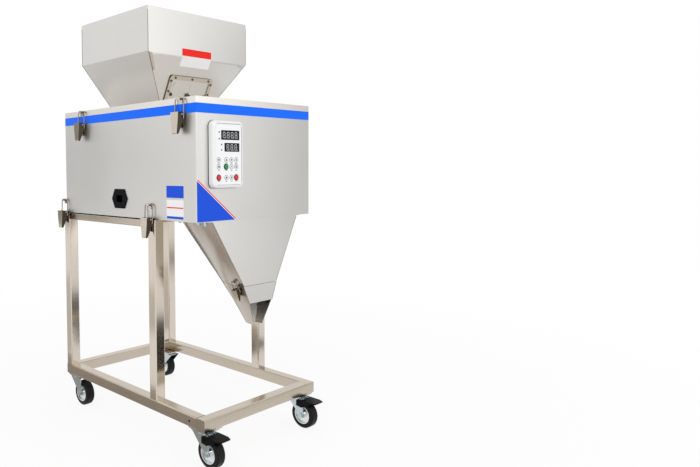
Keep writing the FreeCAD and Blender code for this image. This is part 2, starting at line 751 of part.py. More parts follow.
def latch_hook(width):
    """The fixed hook that the bail pulls on."""
    half = width / 2 - 8
    root = BAIL_REACH - BAIL_PIN_DOWN - BAIL_WIRE_RADIUS - HOOK_REST_GAP
    top = root + HOOK_LIP_HEIGHT
    lip = HOOK_LIP_OUT
    low = root - LATCH_SHEET
    points = ((0, low - 8), (LATCH_SHEET, low - 8), (LATCH_SHEET, low), (lip + LATCH_SHEET, low),
              (lip + LATCH_SHEET, top), (lip, top), (lip, root), (LATCH_SHEET, root),
              (LATCH_SHEET, top), (0, top))
    return side_profile(points, -half, half)


def latch_lever(width):
    """The hand lever: a tapering channel with a rolled tip and its pin."""
    half, tip = width / 2, width / 2 * LEVER_TIP_SHARE
    web_in, web_out = LEVER_WEB_OUT, LEVER_WEB_OUT + LATCH_SHEET
    top, low = 5.0, -LEVER_LENGTH + 4
    lower_in = web_in - 6
    outer = lever_block(web_out, 4.0, half, tip, top, low, lower_in)
    inner = lever_block(web_in, 2.0, half - LATCH_SHEET, tip - LATCH_SHEET, top + 1, low - 1, lower_in - 3)
    shell = outer.cut(inner)
    roll = disc(3.5, web_out - 3.5, -tip, low, 2 * tip, (0, 1, 0))
    pin = disc(LEVER_PIN_RADIUS, LEVER_PIN_OUT, -half, 0, 2 * half, (0, 1, 0))
    lever = shell.fuse(roll).fuse(pin)
    hole = disc(BAIL_WIRE_RADIUS + PIN_CLEARANCE, LEVER_PIN_OUT - BAIL_PIN_IN, -width,
                -BAIL_PIN_DOWN, 2 * width, (0, 1, 0))
    return lever.cut(hole)


def lever_block(out, into, half, tip, top, low, lower_in):
    """The lever's solid form: wide and deep at the pin, narrow and shallow at the tip."""
    wires = []
    for z, w, u in ((top, half, into), (-14.0, half - (half - tip) * 0.25, into), (low, tip, lower_in)):
        points = [Vector(u, -w, z), Vector(out, -w, z), Vector(out, w, z), Vector(u, w, z), Vector(u, -w, z)]
        wires.append(Part.makePolygon(points))
    return Part.makeLoft(wires, True, True)


def latch_bail(width):
    """The wire loop from the lever to the hook, its ends turned into the lever's sides."""
    r, bend = BAIL_WIRE_RADIUS, BAIL_BEND_RADIUS
    w = width / 2 + r + 0.5
    u0, z0 = LEVER_PIN_OUT - BAIL_PIN_IN, -BAIL_PIN_DOWN
    u1, z1 = HOOK_OUT, BAIL_REACH - BAIL_PIN_DOWN
    span = Vector(u1 - u0, 0, z1 - z0)
    along = Vector(span)
    along.normalize()
    foot, head = Vector(u0, 0, z0), Vector(u1, 0, z1)
    k = bend * (1 - math.sqrt(0.5))
    edges = []
    inward = w - 4.0

    def at(base, side, back):
        return base + Vector(0, side, 0) - along * back

    edges.append(Part.LineSegment(at(foot, -inward, 0), at(foot, -w + 2, 0)).toShape())
    edges.append(Part.Arc(at(foot, -w + 2, 0), at(foot, -w + 0.586, -0.586), at(foot, -w, -2)).toShape())
    edges.append(Part.LineSegment(at(foot, -w, -2), at(head, -w, bend)).toShape())
    edges.append(Part.Arc(at(head, -w, bend), at(head, -w + k, k), at(head, -w + bend, 0)).toShape())
    edges.append(Part.LineSegment(at(head, -w + bend, 0), at(head, w - bend, 0)).toShape())
    edges.append(Part.Arc(at(head, w - bend, 0), at(head, w - k, k), at(head, w, bend)).toShape())
    edges.append(Part.LineSegment(at(head, w, bend), at(foot, w, -2)).toShape())
    edges.append(Part.Arc(at(foot, w, -2), at(foot, w - 0.586, -0.586), at(foot, w - 2, 0)).toShape())
    edges.append(Part.LineSegment(at(foot, w - 2, 0), at(foot, inward, 0)).toShape())
    path = Part.Wire(edges)
    ring = Part.Wire(Part.makeCircle(r, at(foot, -inward, 0), Vector(0, 1, 0)))
    return path.makePipeShell([ring], True, True)


def latch_frames():
    """The ten latches by name."""
    frames = {}
    lid_places = {"front": BOX_FRONT + LID_LATCH_FRONT_SETBACK, "rear": BOX_REAR - LID_LATCH_REAR_SETBACK}
    leg_y = {"front": LEG_FRONT_Y + TUBE / 2, "rear": HALF_L - FRAME_LATCH_REAR_SETBACK}
    lid_pin = LID_TOP - (BAIL_REACH - BAIL_PIN_DOWN - BAIL_WIRE_RADIUS - HOOK_REST_GAP + HOOK_LIP_HEIGHT)
    for side_name, side in SIDES:
        out, up = (side, 0, 0), (0, 0, 1)
        for end_name, _ in ENDS:
            name = end_name + "_" + side_name
            lid_foot = (side * HALF_BOX, lid_places[end_name], lid_pin)
            frames["lid_" + name] = LatchFrame(lid_foot, out, up, LID_LATCH_WIDTH)
            frame_foot = (side * HALF_BOX, leg_y[end_name], FRAME_TOP + FRAME_LATCH_RISE)
            frames["frame_" + name] = LatchFrame(frame_foot, out, up, FRAME_LATCH_WIDTH)
        frames["nozzle_" + side_name] = nozzle_latch_frame(side)
    return frames


def side_point(level, back):
    """Half width of an outline at a distance behind its front."""
    front, half, depth, _ = level
    return half * math.sqrt(max(0.0, 1 - (back / depth) ** 2))


def nozzle_latch_frame(side):
    """The frame of a nozzle latch, on the line from the nozzle's wall to the chute's."""
    top, seam, mouth, _ = chute_levels()
    high = stretched(top, seam, SEAM_Z + 14)
    low = stretched(seam, mouth, SEAM_Z - 20)
    back = NOZZLE_LATCH_SETBACK
    upper = Vector(side * (side_point(high, back) + NOZZLE_LATCH_LIFT), high[0] + back, high[3])
    lower = Vector(side * (side_point(low, back) + NOZZLE_LATCH_LIFT), low[0] + back, low[3])
    up = upper - lower
    up.normalize()
    out = up.cross(Vector(0, 1, 0)) * -side
    if out.x * side < 0:
        out = out * -1
    foot = lower + up * (20 - NOZZLE_LATCH_DROP)
    return LatchFrame(tuple(foot), tuple(out), tuple(up), NOZZLE_LATCH_WIDTH, NOZZLE_LATCH_SCALE)


# Control panel

def panel_centre():
    """The panel's middle on the front wall."""
    return -HALF_BOX + PANEL_LEFT + PANEL_WIDTH / 2, BOX_TOP - PANEL_DROP - PANEL_HEIGHT / 2


def on_front(shape):
    """From panel coordinates to the part: X across, Y up, Z out of the front wall."""
    x, z = panel_centre()
    return moved(turned(shape, 90, (1, 0, 0)), x, BOX_FRONT, z)


def panel_inner():
    """Width and height inside the panel's border."""
    return PANEL_WIDTH - 2 * PANEL_BORDER, PANEL_HEIGHT - 2 * PANEL_BORDER


def panel_cutout():
    """The opening in the box's wall behind the panel."""
    width, height = panel_inner()
    cut = rounded_slab(width - 16, height - 16, 6, 3 * SHEET)
    return on_front(moved(cut, 0, 0, -2 * SHEET))


def panel_bezel():
    """A moulded frame with a soft outer edge, hollow behind, with a seat for the keypad."""
    body = rounded_slab(PANEL_WIDTH, PANEL_HEIGHT, PANEL_CORNER, PANEL_DEPTH)
    rim = [e for e in body.Edges if all(abs(v.Z - PANEL_DEPTH) < 1e-6 for v in e.Vertexes)]
    body = body.makeFillet(PANEL_EDGE_RADIUS, rim)
    width, height = panel_inner()
    recess = rounded_slab(width, height, PANEL_CORNER - PANEL_BORDER, PANEL_RECESS + 1)
    body = body.cut(moved(recess, 0, 0, PANEL_DEPTH - PANEL_RECESS))
    hollow = rounded_slab(width - 8, height - 8, 5, PANEL_DEPTH)
    return on_front(body.cut(moved(hollow, 0, 0, -0.001)))


def key_places():
    """The three raised keys on the keypad, by name, from the panel's middle."""
    return {"start_key": (-9.0, -30.0), "stop_key": (-33.5, -56.5), "clear_key": (26.0, -56.5)}


def window_places():
    """The two display windows: middle, and width."""
    return ((6.0, 48.0, WINDOW_WIDTH), (11.5, 19.0, SMALL_WINDOW_WIDTH))


def film_base():
    """The height of the keypad's underside over the wall."""
    return PANEL_DEPTH - PANEL_RECESS


def keypad():
    """The keypad's film with the display windows set in it and holes for the raised keys."""
    width, height = panel_inner()
    film = rounded_slab(width - 0.6, height - 0.6, PANEL_CORNER - PANEL_BORDER, FILM_THICKNESS)
    windows = []
    for x, y, wide in window_places():
        half = WINDOW_HEIGHT / 2
        pane = box(x - wide / 2, x + wide / 2, y - half, y + half, 0, FILM_THICKNESS)
        film = film.cut(moved(pane, 0, 0, FILM_THICKNESS - WINDOW_THICKNESS))
        half = WINDOW_HEIGHT / 2
        pane = box(x - wide / 2, x + wide / 2, y - half, y + half, 0, WINDOW_THICKNESS)
        windows.append(on_front(moved(pane, 0, 0, film_base() + FILM_THICKNESS - WINDOW_THICKNESS)))
    for x, y in key_places().values():
        film = film.cut(disc(KEY_RADIUS + KEY_CLEARANCE, x, y, -1, FILM_THICKNESS + 2))
    return [on_front(moved(film, 0, 0, film_base()))] + windows


def panel_key(place):
    """A raised round key with a hidden flange under the film."""
    x, y = place
    top = FILM_THICKNESS + KEY_TRAVEL + KEY_PROUD
    stem = disc(KEY_RADIUS, x, y, -KEY_FLANGE, top + KEY_FLANGE)
    stem = stem.makeFillet(1.2, [stem.Edges[0]] if stem.Edges[0].CenterOfMass.z > 0 else [stem.Edges[2]])
    flange = disc(KEY_RADIUS + 1.5, x, y, -KEY_FLANGE - KEY_CLEARANCE, KEY_FLANGE)
    return on_front(moved(stem.fuse(flange), 0, 0, film_base()))


# Mains inlet

def inlet_outline(grow):
    """The inlet's flange: flat above and below, pointed at both sides."""
    w, f, h = INLET_WIDTH / 2 + grow, INLET_FLAT / 2 + grow, INLET_HEIGHT / 2 + grow
    return ((-w, 0), (-f, -h), (f, -h), (w, 0), (f, h), (-f, h))


def on_left(shape):
    """From wall coordinates to the part: X towards the front, Y up, Z out of the left wall."""
    placed = turned(turned(shape, 90, (1, 0, 0)), -90, (0, 0, 1))
    return moved(placed, -HALF_BOX, INLET_Y, BOX_BOTTOM + INLET_RISE)


def inlet_cutout():
    """The opening in the left wall for the inlet's body."""
    w, h = INLET_BODY_WIDTH / 2 + 0.3, INLET_BODY_HEIGHT / 2 + 0.3
    return on_left(box(-w, w, -h, h, -3 * SHEET, 1))


def inlet_socket():
    """The appliance inlet: a flange, a body through the wall and a recess with three pins."""
    flange = polygon(inlet_outline(0), INLET_FLANGE)
    w, h = INLET_BODY_WIDTH / 2, INLET_BODY_HEIGHT / 2
    body = flange.fuse(box(-w, w, -h, h, -INLET_BODY_DEPTH, 0))
    slot = rounded_slab(INLET_RECESS_WIDTH, INLET_RECESS_HEIGHT, 3, INLET_RECESS_DEPTH + 1)
    body = body.cut(moved(slot, 0, 0, INLET_FLANGE - INLET_RECESS_DEPTH))
    for x, y in ((-7, -2), (0, 3), (7, -2)):
        body = body.fuse(box(x - 1, x + 1, y - 2, y + 2, INLET_FLANGE - INLET_RECESS_DEPTH - 1, -3))
    return on_left(body)


# Fixings on the box

def flange_nut():
    """A dome nut that hangs under the chute's flange."""
    turns = [math.radians(a) for a in range(0, 360, 60)]
    ring = [(FLANGE_NUT_RADIUS * math.cos(a), FLANGE_NUT_RADIUS * math.sin(a)) for a in turns]
    nut = moved(polygon(ring, FLANGE_NUT_HEIGHT), 0, 0, -FLANGE_NUT_HEIGHT)
    return nut.fuse(Part.makeSphere(FLANGE_NUT_RADIUS * 0.8, Vector(0, 0, -FLANGE_NUT_HEIGHT)))


def fixing_screws():
    """Dome nuts under the chute's flange, and two screws on the right wall."""
    solids = []
    front, half, depth, _ = chute_levels()[0]
    for degrees in FLANGE_NUT_DEGREES:
        a = math.radians(degrees)
        x = (half + CHUTE_FLANGE * 0.55) * math.cos(a)
        y = front + (depth + CHUTE_FLANGE * 0.55) * math.sin(a)
        solids.append(moved(flange_nut(), x, y, CHUTE_TOP))
    for dy in (0, WALL_SCREW_PITCH):
        head = turned(screw_head(), 90, (0, 1, 0))
        y = BOX_FRONT + WALL_SCREW_SETBACK + dy
        solids.append(moved(head, HALF_BOX, y, BOX_BOTTOM + WALL_SCREW_RISE))
    return solids


# Casters

def caster_places():
    """The four casters' swivel axes by name."""
    x, y = HALF_W - CASTER_INSET_X, HALF_L - CASTER_INSET_Y
    places = {}
    for side_name, side in SIDES:
        places["front_" + side_name] = (side * x, -y)
        places["rear_" + side_name] = (side * x, y)
    return places


def caster_plate_top():
    """Underside of the corner gussets."""
    return BASE_BOTTOM - GUSSET_THICKNESS


def crown_top():
    """Top of the turning crown, under the swivel ring."""
    return caster_plate_top() - CASTER_PLATE_THICKNESS - SWIVEL_RING_HEIGHT


def caster_plate(x, y):
    """The fixed plate with the swivel ring, the kingpin and four bolt heads."""
    top = caster_plate_top()
    low = top - CASTER_PLATE_THICKNESS
    plate = moved(rounded_slab(CASTER_PLATE, CASTER_PLATE, 6, CASTER_PLATE_THICKNESS), x, y, low)
    ring = Part.makeCone(SWIVEL_RING_RADIUS, SWIVEL_RING_RADIUS - 3, SWIVEL_RING_HEIGHT - 0.3,
                         Vector(x, y, low), Vector(0, 0, -1))
    pin = disc(KINGPIN_RADIUS, x, y, crown_top() - FORK_SHEET - 3, SWIVEL_RING_HEIGHT + FORK_SHEET + 3)
    nut = disc(KINGPIN_RADIUS + 2.5, x, y, crown_top() - FORK_SHEET - 3, 2.7)
    return plate.fuse(ring).fuse(pin).fuse(nut)


def fork_side():
    """A fork's side plate in its own frame: wheel ahead at -Y, swivel axis at the origin."""
    axle_z = WHEEL_DIAMETER / 2
    top = crown_top()
    r = FORK_FOOT
    left = Vector(0, FORK_REAR, top)
    right = Vector(0, -FORK_FRONT, top)
    centre = Vector(0, -TRAIL, axle_z)
    points = [left, right, centre + Vector(0, -r, 2), centre + Vector(0, 0, -r), centre + Vector(0, r, 2)]
    low_arc = Part.Arc(points[2], points[3], points[4]).toShape()
    edges = [Part.LineSegment(points[0], points[1]).toShape(), Part.LineSegment(points[1], points[2]).toShape(),
             low_arc, Part.LineSegment(points[4], points[0]).toShape()]
    return Part.Face(Part.Wire(edges))


def caster_fork(braked):
    """Crown and two side plates, with the axle bolt between them and the holes for a pedal's pins."""
    top = crown_top()
    crown = disc(CROWN_RADIUS, 0, 0, top - FORK_SHEET, FORK_SHEET)
    half = FORK_GAP / 2
    crown = crown.common(box(-half - FORK_SHEET, half + FORK_SHEET, -CROWN_RADIUS, CROWN_RADIUS, 0, top))
    fork = crown
    for side in (-1, 1):
        plate = fork_side().extrude(Vector(FORK_SHEET, 0, 0))
        fork = fork.fuse(moved(plate, half if side > 0 else -half - FORK_SHEET, 0, 0))
    fork = fork.cut(disc(KINGPIN_RADIUS + RUNNING_CLEARANCE, 0, 0, top - FORK_SHEET - 1, FORK_SHEET + 2))
    axle_z = WHEEL_DIAMETER / 2
    span = FORK_GAP + 2 * FORK_SHEET
    fork = fork.cut(disc(AXLE_RADIUS, -span / 2, -TRAIL, axle_z, span, (1, 0, 0)))
    if braked:
        pin_y, pin_z = pedal_pivot()
        fork = fork.cut(disc(PEDAL_PIN_RADIUS + RUNNING_CLEARANCE, -span / 2, pin_y, pin_z, span, (1, 0, 0)))
    axle = disc(AXLE_RADIUS, -span / 2, -TRAIL, axle_z, span, (1, 0, 0))
    for side in (-1, 1):
        axle = axle.fuse(hex_head(side * span / 2, -TRAIL, axle_z, side))
    return [fork.removeSplitter(), axle]


def hex_head(x, y, z, side):
    """A hexagon head on the outside of the fork."""
    radius, height = 7.0, 4.5
    turns = [math.radians(60 * n) for n in range(6)]
    points = [(radius * math.cos(a), radius * math.sin(a)) for a in turns]
    head = turned(polygon(points, height), 90 * side, (0, 1, 0))
    return moved(head, x, y, z)


def caster_wheel():
    """Tyre and hub turned about the axle, in the caster's own frame."""
    r, w = WHEEL_DIAMETER / 2, TYRE_WIDTH / 2
    bore = AXLE_RADIUS + RUNNING_CLEARANCE
    hub = turned_ring(((bore, -HUB_WIDTH / 2), (9, -HUB_WIDTH / 2), (9, -w + 5), (HUB_RADIUS - 3, -w + 5),
                       (HUB_RADIUS - 2, -w), (HUB_RADIUS, -w), (HUB_RADIUS, w), (HUB_RADIUS - 2, w),
                       (HUB_RADIUS - 3, w - 5), (9, w - 5), (9, HUB_WIDTH / 2), (bore, HUB_WIDTH / 2)))
    tyre = disc(r, 0, 0, -w, TYRE_WIDTH)
    tyre = tyre.makeFillet(TYRE_SHOULDER, [e for e in tyre.Edges if len(e.Vertexes) == 1])
    return [on_axle(hub), on_axle(tyre.cut(disc(HUB_RADIUS, 0, 0, -w - 1, TYRE_WIDTH + 2)))]


def turned_ring(points):
    """A solid turned about Z from radius and height pairs."""
    wire = Part.makePolygon([Vector(r, 0, h) for r, h in points] + [Vector(points[0][0], 0, points[0][1])])
    return Part.Face(wire).revolve(Vector(0, 0, 0), Vector(0, 0, 1), 360)


def on_axle(shape):
    """From a turned part's axis to the caster's axle."""
    return moved(turned(shape, 90, (0, 1, 0)), 0, -TRAIL, WHEEL_DIAMETER / 2)


def pedal_pivot():
    """The brake pedal's axis in the caster's frame: forward and height."""
    return -PEDAL_PIVOT_FORWARD, crown_top() - PEDAL_PIVOT_DROP


def brake_pedal():
    """The pedal: two cheeks outside the fork, their pins and a tread plate over the wheel."""
    y, z = pedal_pivot()
    inner = FORK_GAP / 2 + FORK_SHEET + PEDAL_GAP
    outer = inner + PEDAL_CHEEK
    top = crown_top() - 2
    low = top - PEDAL_THICKNESS
    near = -CROWN_RADIUS - 3
    deep = z - PEDAL_CHEEK_DROP
    points = ((y + 7, deep + 2), (y - 12, deep), (-PEDAL_REACH * 0.75, low - 4), (-PEDAL_REACH * 0.8, low),
              (-PEDAL_REACH * 0.7, top), (y + 1, top), (y + 7, top - 3))
    tip = PEDAL_WIDTH / 2
    outline = ((-outer, near), (-outer, -PEDAL_REACH * 0.8), (-tip, -PEDAL_REACH), (tip, -PEDAL_REACH),
               (outer, -PEDAL_REACH * 0.8), (outer, near))
    tread = moved(polygon(outline, PEDAL_THICKNESS), 0, 0, low)
    pedal = tread.makeFillet(1.2, [e for e in tread.Edges if abs(e.CenterOfMass.y + PEDAL_REACH) < 1e-6])
    for side in (-1, 1):
        x0, x1 = sorted((side * inner, side * outer))
        wire = Part.makePolygon([Vector(x0, py, pz) for py, pz in points + points[:1]])
        pedal = pedal.fuse(Part.Face(wire).extrude(Vector(PEDAL_CHEEK, 0, 0)))
        start = FORK_GAP / 2 + PEDAL_GAP
        pedal = pedal.fuse(disc(PEDAL_PIN_RADIUS, side * start, y, z, outer - start, (side, 0, 0)))
        pedal = pedal.fuse(disc(PEDAL_PIN_RADIUS + 1.5, side * outer, y, z, 1.2, (side, 0, 0)))
    return pedal


def caster_turn(name):
    """One caster stands with its wheel towards the rear, the others towards the front."""
    return 180 if name == "rear_right" else 0


def placed_caster(shape, name):
    """From the caster's frame to its corner."""
    x, y = caster_places()[name]
    return moved(turned(shape, caster_turn(name), (0, 0, 1)), x, y)


# Feeder inside the box

def spring_frame(y):
    """Where a spring's middle is and how it leans: its top towards the rear."""
    low = FLOOR_TOP + FEEDER_BLOCK_HEIGHT - 26
    return y, low


def feeder_places():
    """The two springs' places along the feeder."""
    return FEEDER_CENTRE_Y - SPRING_SPACING / 2, FEEDER_CENTRE_Y + SPRING_SPACING / 2


def leaning(shape, y):
    """From a spring's own frame, with Z along it, to the part."""
    place, low = spring_frame(y)
    return moved(turned(shape, -SPRING_TILT, (1, 0, 0)), 0, place, low)


def leaf_springs():
    """Two flat springs between the block and the trough."""
    half, t = SPRING_WIDTH / 2, SPRING_THICKNESS / 2
    return [leaning(box(-half, half, -t, t, 0, SPRING_LENGTH), y) for y in feeder_places()]


def square_post(size, low, high):
    """Upright square post on the feeder's middle."""
    half = size / 2
    return box(-half, half, FEEDER_CENTRE_Y - half, FEEDER_CENTRE_Y + half, low, high)


def feeder_drive():
    """The heavy block with its spring seats, the magnet's core and its coil."""
    w, length = FEEDER_BLOCK_WIDTH / 2, FEEDER_BLOCK_LENGTH / 2
    top = FLOOR_TOP + FEEDER_BLOCK_HEIGHT
    block = box(-w, w, FEEDER_CENTRE_Y - length, FEEDER_CENTRE_Y + length, FLOOR_TOP, top)
    for y in feeder_places():
        half, t = SPRING_WIDTH / 2, SPRING_THICKNESS / 2
        block = block.cut(leaning(box(-half - 1, half + 1, -t, t, 0, SPRING_LENGTH), y))
    seat = top - FEEDER_WAIST_DEPTH
    front, rear = FEEDER_CENTRE_Y - FEEDER_WAIST_HALF, FEEDER_CENTRE_Y + FEEDER_WAIST_HALF
    block = block.cut(box(-w - 1, w + 1, front, rear, seat, top + 1))
    low = magnet_low()
    high = low + COIL_LENGTH
    core = square_post(CORE_SIZE, seat, high)
    coil = square_post(COIL_SIZE, low, high - CORE_PROUD)
    coil = coil.cut(square_post(CORE_SIZE, low - 1, high))
    return [block, core, coil]


def trough_floor():
    """Underside of the trough."""
    return FLOOR_TOP + TROUGH_RISE - TROUGH_SHEET


def carrier_low():
    """Underside of the bar under the trough that the springs' upper ends meet."""
    return trough_floor() - 34


def magnet_low():
    """Where the coil starts, so that the core ends an air gap under the armature."""
    return carrier_low() - AIR_GAP - COIL_LENGTH


def feed_trough():
    """The trough, its carrier under it with the springs' slots, and the armature."""
    w, t = TROUGH_WIDTH / 2, TROUGH_SHEET
    z0 = trough_floor()
    front = TROUGH_REAR - TROUGH_LENGTH
    pan = box(-w, w, front, TROUGH_REAR, z0, z0 + TROUGH_HEIGHT)
    pan = pan.cut(box(-w + t, w - t, front - 1, TROUGH_REAR - t, z0 + t, z0 + TROUGH_HEIGHT + 1))
    half = SPRING_WIDTH / 2 + 5
    first, last = feeder_places()
    carrier = box(-half, half, first - 2, last + CARRIER_BEHIND, carrier_low(), z0)
    for y in feeder_places():
        grow = SPRING_GAP
        s, h = SPRING_WIDTH / 2 + grow, SPRING_THICKNESS / 2 + grow
        carrier = carrier.cut(leaning(box(-s, s, -h, h, 0, SPRING_LENGTH + grow), y))
    return pan.fuse(carrier)


# Weighing bucket

def bucket_z():
    """Heights of the bucket: top, where the taper starts, and the outlet."""
    top = FLOOR_TOP + BUCKET_TOP_RISE
    return top, top - BUCKET_WALL_HEIGHT, top - BUCKET_WALL_HEIGHT - BUCKET_TAPER_HEIGHT


def bucket_outlet():
    """Front and rear of the bucket's outlet."""
    rear = BUCKET_REAR - 18
    return rear - BUCKET_OUTLET_DEPTH, rear


def bucket_form(inset, extra):
    """The bucket's outer form, set in by a wall, longer at both ends by extra."""
    top, mid, low = bucket_z()
    w, o = BUCKET_WIDTH / 2 - inset, BUCKET_OUTLET_WIDTH / 2 - inset
    f, r = BUCKET_REAR - BUCKET_DEPTH + inset, BUCKET_REAR - inset
    of, orr = bucket_outlet()
    wall = box(-w, w, f, r, mid, top + extra)
    taper = rect_loft(((-o, o, of + inset, orr - inset, low), (-w, w, f, r, mid)))
    form = wall.fuse(taper)
    if extra:
        form = form.fuse(box(-o, o, of + inset, orr - inset, low - extra, low))
    return form.removeSplitter()


def hinge_place():
    """The door's axis: Y and Z."""
    return bucket_outlet()[1] + HINGE_BEHIND, bucket_z()[2] + HINGE_ABOVE


def weigh_bucket():
    """The open bucket with two lugs behind its outlet for the door's pin."""
    shell = bucket_form(0, 0).cut(bucket_form(SHEET, 2))
    y, z = hinge_place()
    for side in (-1, 1):
        x0, x1 = sorted((side * (BUCKET_OUTLET_WIDTH / 2 - 8), side * (BUCKET_OUTLET_WIDTH / 2 - 5)))
        lug = box(x0, x1, bucket_outlet()[1] - 1, y + 5, z - 5, z + 16)
        lug = lug.cut(bucket_form(SHEET, 2))
        shell = shell.fuse(lug)
    pin_hole = disc(HINGE_PIN_RADIUS + RUNNING_CLEARANCE, -BUCKET_WIDTH, y, z, 2 * BUCKET_WIDTH, (1, 0, 0))
    return shell.cut(pin_hole)


def bucket_door():
    """The flap under the outlet, with its lugs, pin, crank arm and roller."""
    front, rear = bucket_outlet()
    y, z = hinge_place()
    top = bucket_z()[2] - DOOR_GAP
    half = BUCKET_OUTLET_WIDTH / 2 + DOOR_OVERLAP
    door = box(-half, half, front - DOOR_OVERLAP, y + 4, top - DOOR_THICKNESS, top)
    for side in (-1, 1):
        x0, x1 = sorted((side * (BUCKET_OUTLET_WIDTH / 2 - 1), side * half))
        door = door.fuse(box(x0, x1, y - 4, y + 4, top - DOOR_THICKNESS, z + 4))
    arm_x = BUCKET_WIDTH / 2 + CRANK_OUT
    door = door.fuse(disc(HINGE_PIN_RADIUS, -half, y, z, half + arm_x, (1, 0, 0)))
    arm = box(arm_x - 3, arm_x, y - 4, y + 4, z - 4, z + CRANK_RADIUS)
    reach = 3 + 2 * (ROD_PAD_RADIUS + ROD_GAP)
    roller = disc(ROLLER_RADIUS, arm_x - 3, y, z + CRANK_RADIUS, reach, (1, 0, 0))
    arm = turned(arm.fuse(roller), -DOOR_SWING / 2, (1, 0, 0), (0, y, z))
    return door.fuse(arm)


def rod_start():
    """Where the push rod's pad meets the roller when the door is shut: X, Y and Z."""
    y, z = hinge_place()
    half = math.radians(DOOR_SWING / 2)
    contact = y + CRANK_RADIUS * math.sin(half) + ROLLER_RADIUS
    return BUCKET_WIDTH / 2 + CRANK_OUT + ROD_PAD_RADIUS + ROD_GAP, contact + ROD_GAP, z + CRANK_RADIUS


def solenoid_rod():
    """The push rod with its pad."""
    x, y, z = rod_start()
    pad = disc(ROD_PAD_RADIUS, x, y, z, ROD_PAD_THICKNESS, (0, 1, 0))
    return pad.fuse(disc(ROD_RADIUS, x, y, z, solenoid_rear() - y - 6, (0, 1, 0)))


def solenoid_rear():
    """The solenoid's rear face, on the stand."""
    return STAND_Y


def door_solenoid():
    """The solenoid's body with a bore for the rod."""
    x, _, z = rod_start()
    half = SOLENOID_SIZE / 2
    body = box(x - half, x + half, STAND_Y - SOLENOID_LENGTH, STAND_Y, z - half, z + half)
    middle_y = STAND_Y - SOLENOID_LENGTH / 2
    body = body.makeFillet(3, [e for e in body.Edges if abs(e.CenterOfMass.y - middle_y) < 1e-6])
    rear_y = STAND_Y - SOLENOID_LENGTH - 1
    bore = disc(ROD_RADIUS + RUNNING_CLEARANCE, x, rear_y, z, SOLENOID_LENGTH + 1, (0, 1, 0))
    return body.cut(bore)


def load_cell_z():
    """Middle height of the load cell."""
    return bucket_z()[0] - BUCKET_WALL_HEIGHT * 0.45


def load_cell():
    """The bar between the stand and the bucket, with its joined round cut-outs."""
    s = LOAD_CELL_SIDE / 2
    z = load_cell_z()
    bar = box(-s, s, BUCKET_REAR, STAND_Y, z - s, z + s)
    middle = (BUCKET_REAR + STAND_Y) / 2
    for dy in (-11, 11):
        bar = bar.cut(disc(s * 0.72, -s - 1, middle + dy, z, 2 * s + 2, (1, 0, 0)))
    return bar.cut(box(-s - 1, s + 1, middle - 11, middle + 11, z - 1.5, z + 1.5))


def weigh_stand():
    """A folded plate on the floor that carries the load cell and the solenoid."""
    top = load_cell_z() + LOAD_CELL_SIDE
    x0, x1 = -STAND_HALF, rod_start()[0] + SOLENOID_SIZE / 2 + 2
    plate = box(x0, x1, STAND_Y, STAND_Y + STAND_THICKNESS, FLOOR_TOP, top)
    foot = box(x0, x1, STAND_Y, STAND_Y + STAND_FOOT, FLOOR_TOP, FLOOR_TOP + STAND_THICKNESS)
    return plate.fuse(foot)


def control_board():
    """The control electronics' closed case on the floor, behind the left wall."""
    case = rounded_slab(CASE_WIDTH, CASE_LENGTH, CASE_CORNER, CASE_HEIGHT)
    rim = [e for e in case.Edges if all(abs(v.Z - CASE_HEIGHT) < 1e-6 for v in e.Vertexes)]
    case = case.makeFillet(CASE_EDGE, rim)
    x, y = CASE_WALL_GAP + CASE_WIDTH / 2 - HALF_BOX, BOX_REAR - CASE_REAR_GAP - CASE_LENGTH / 2
    return moved(case, x, y, FLOOR_TOP)


def build():
    """Write every sub-part."""
    os.makedirs("parts", exist_ok=True)
    save("base_frame", *base_frame())
    save("legs", *legs())
    save("top_rails", *top_rails())
    save("box_gasket", box_gasket())
    save("housing", housing())
    save("lid", lid())
    save("hopper", hopper())
    save("hopper_gate", hopper_gate())
    save("gate_guide", *gate_guide())
    save("chute", chute())
    save("nozzle", nozzle())
    plates = []
    for name, frame in latch_frames().items():
        plates.append(frame.place(latch_plate(frame.width, name.startswith("frame"))))
        plates.append(frame.place(latch_hook(frame.width)))
        save("latch_lever_" + name, frame.place(latch_lever(frame.width)))
        save("latch_bail_" + name, frame.place(latch_bail(frame.width)))
    save("latch_plates", *plates)
    save("panel_bezel", panel_bezel())
    save("keypad", *keypad())
    for name, place in key_places().items():
        save(name, panel_key(place))
    save("inlet_socket", inlet_socket())
    save("fixing_screws", *fixing_screws())
    save("caster_plates", *[caster_plate(x, y) for x, y in caster_places().values()])
    for name in caster_places():
        fork = caster_fork(name.startswith("front"))
        save("caster_fork_" + name, *[placed_caster(s, name) for s in fork])
        save("caster_wheel_" + name, *[placed_caster(s, name) for s in caster_wheel()])
        if name.startswith("front"):
            save("brake_pedal_" + name.split("_")[1], placed_caster(brake_pedal(), name))
    save("feeder_drive", *feeder_drive())
    save("leaf_springs", *leaf_springs())
    save("feed_trough", feed_trough())
    save("weigh_bucket", weigh_bucket())
    save("bucket_door", bucket_door())
    save("load_cell", load_cell())
    save("weigh_stand", weigh_stand())
    save("door_solenoid", door_solenoid())
    save("solenoid_rod", solenoid_rod())
    save("control_board", control_board())


build()
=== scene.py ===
"""Dresses the weighing filling machine: finishes on its solids, decals, keypad print and small parts."""

import logging
import math
from dataclasses import dataclass, field, replace
from enum import Enum
from typing import Any, Callable, Iterable, Sequence

import bmesh
import bpy
from bpy.types import Material, Mesh, Node, NodeSocket, NodeTree, Object
from mathutils import Matrix, Vector


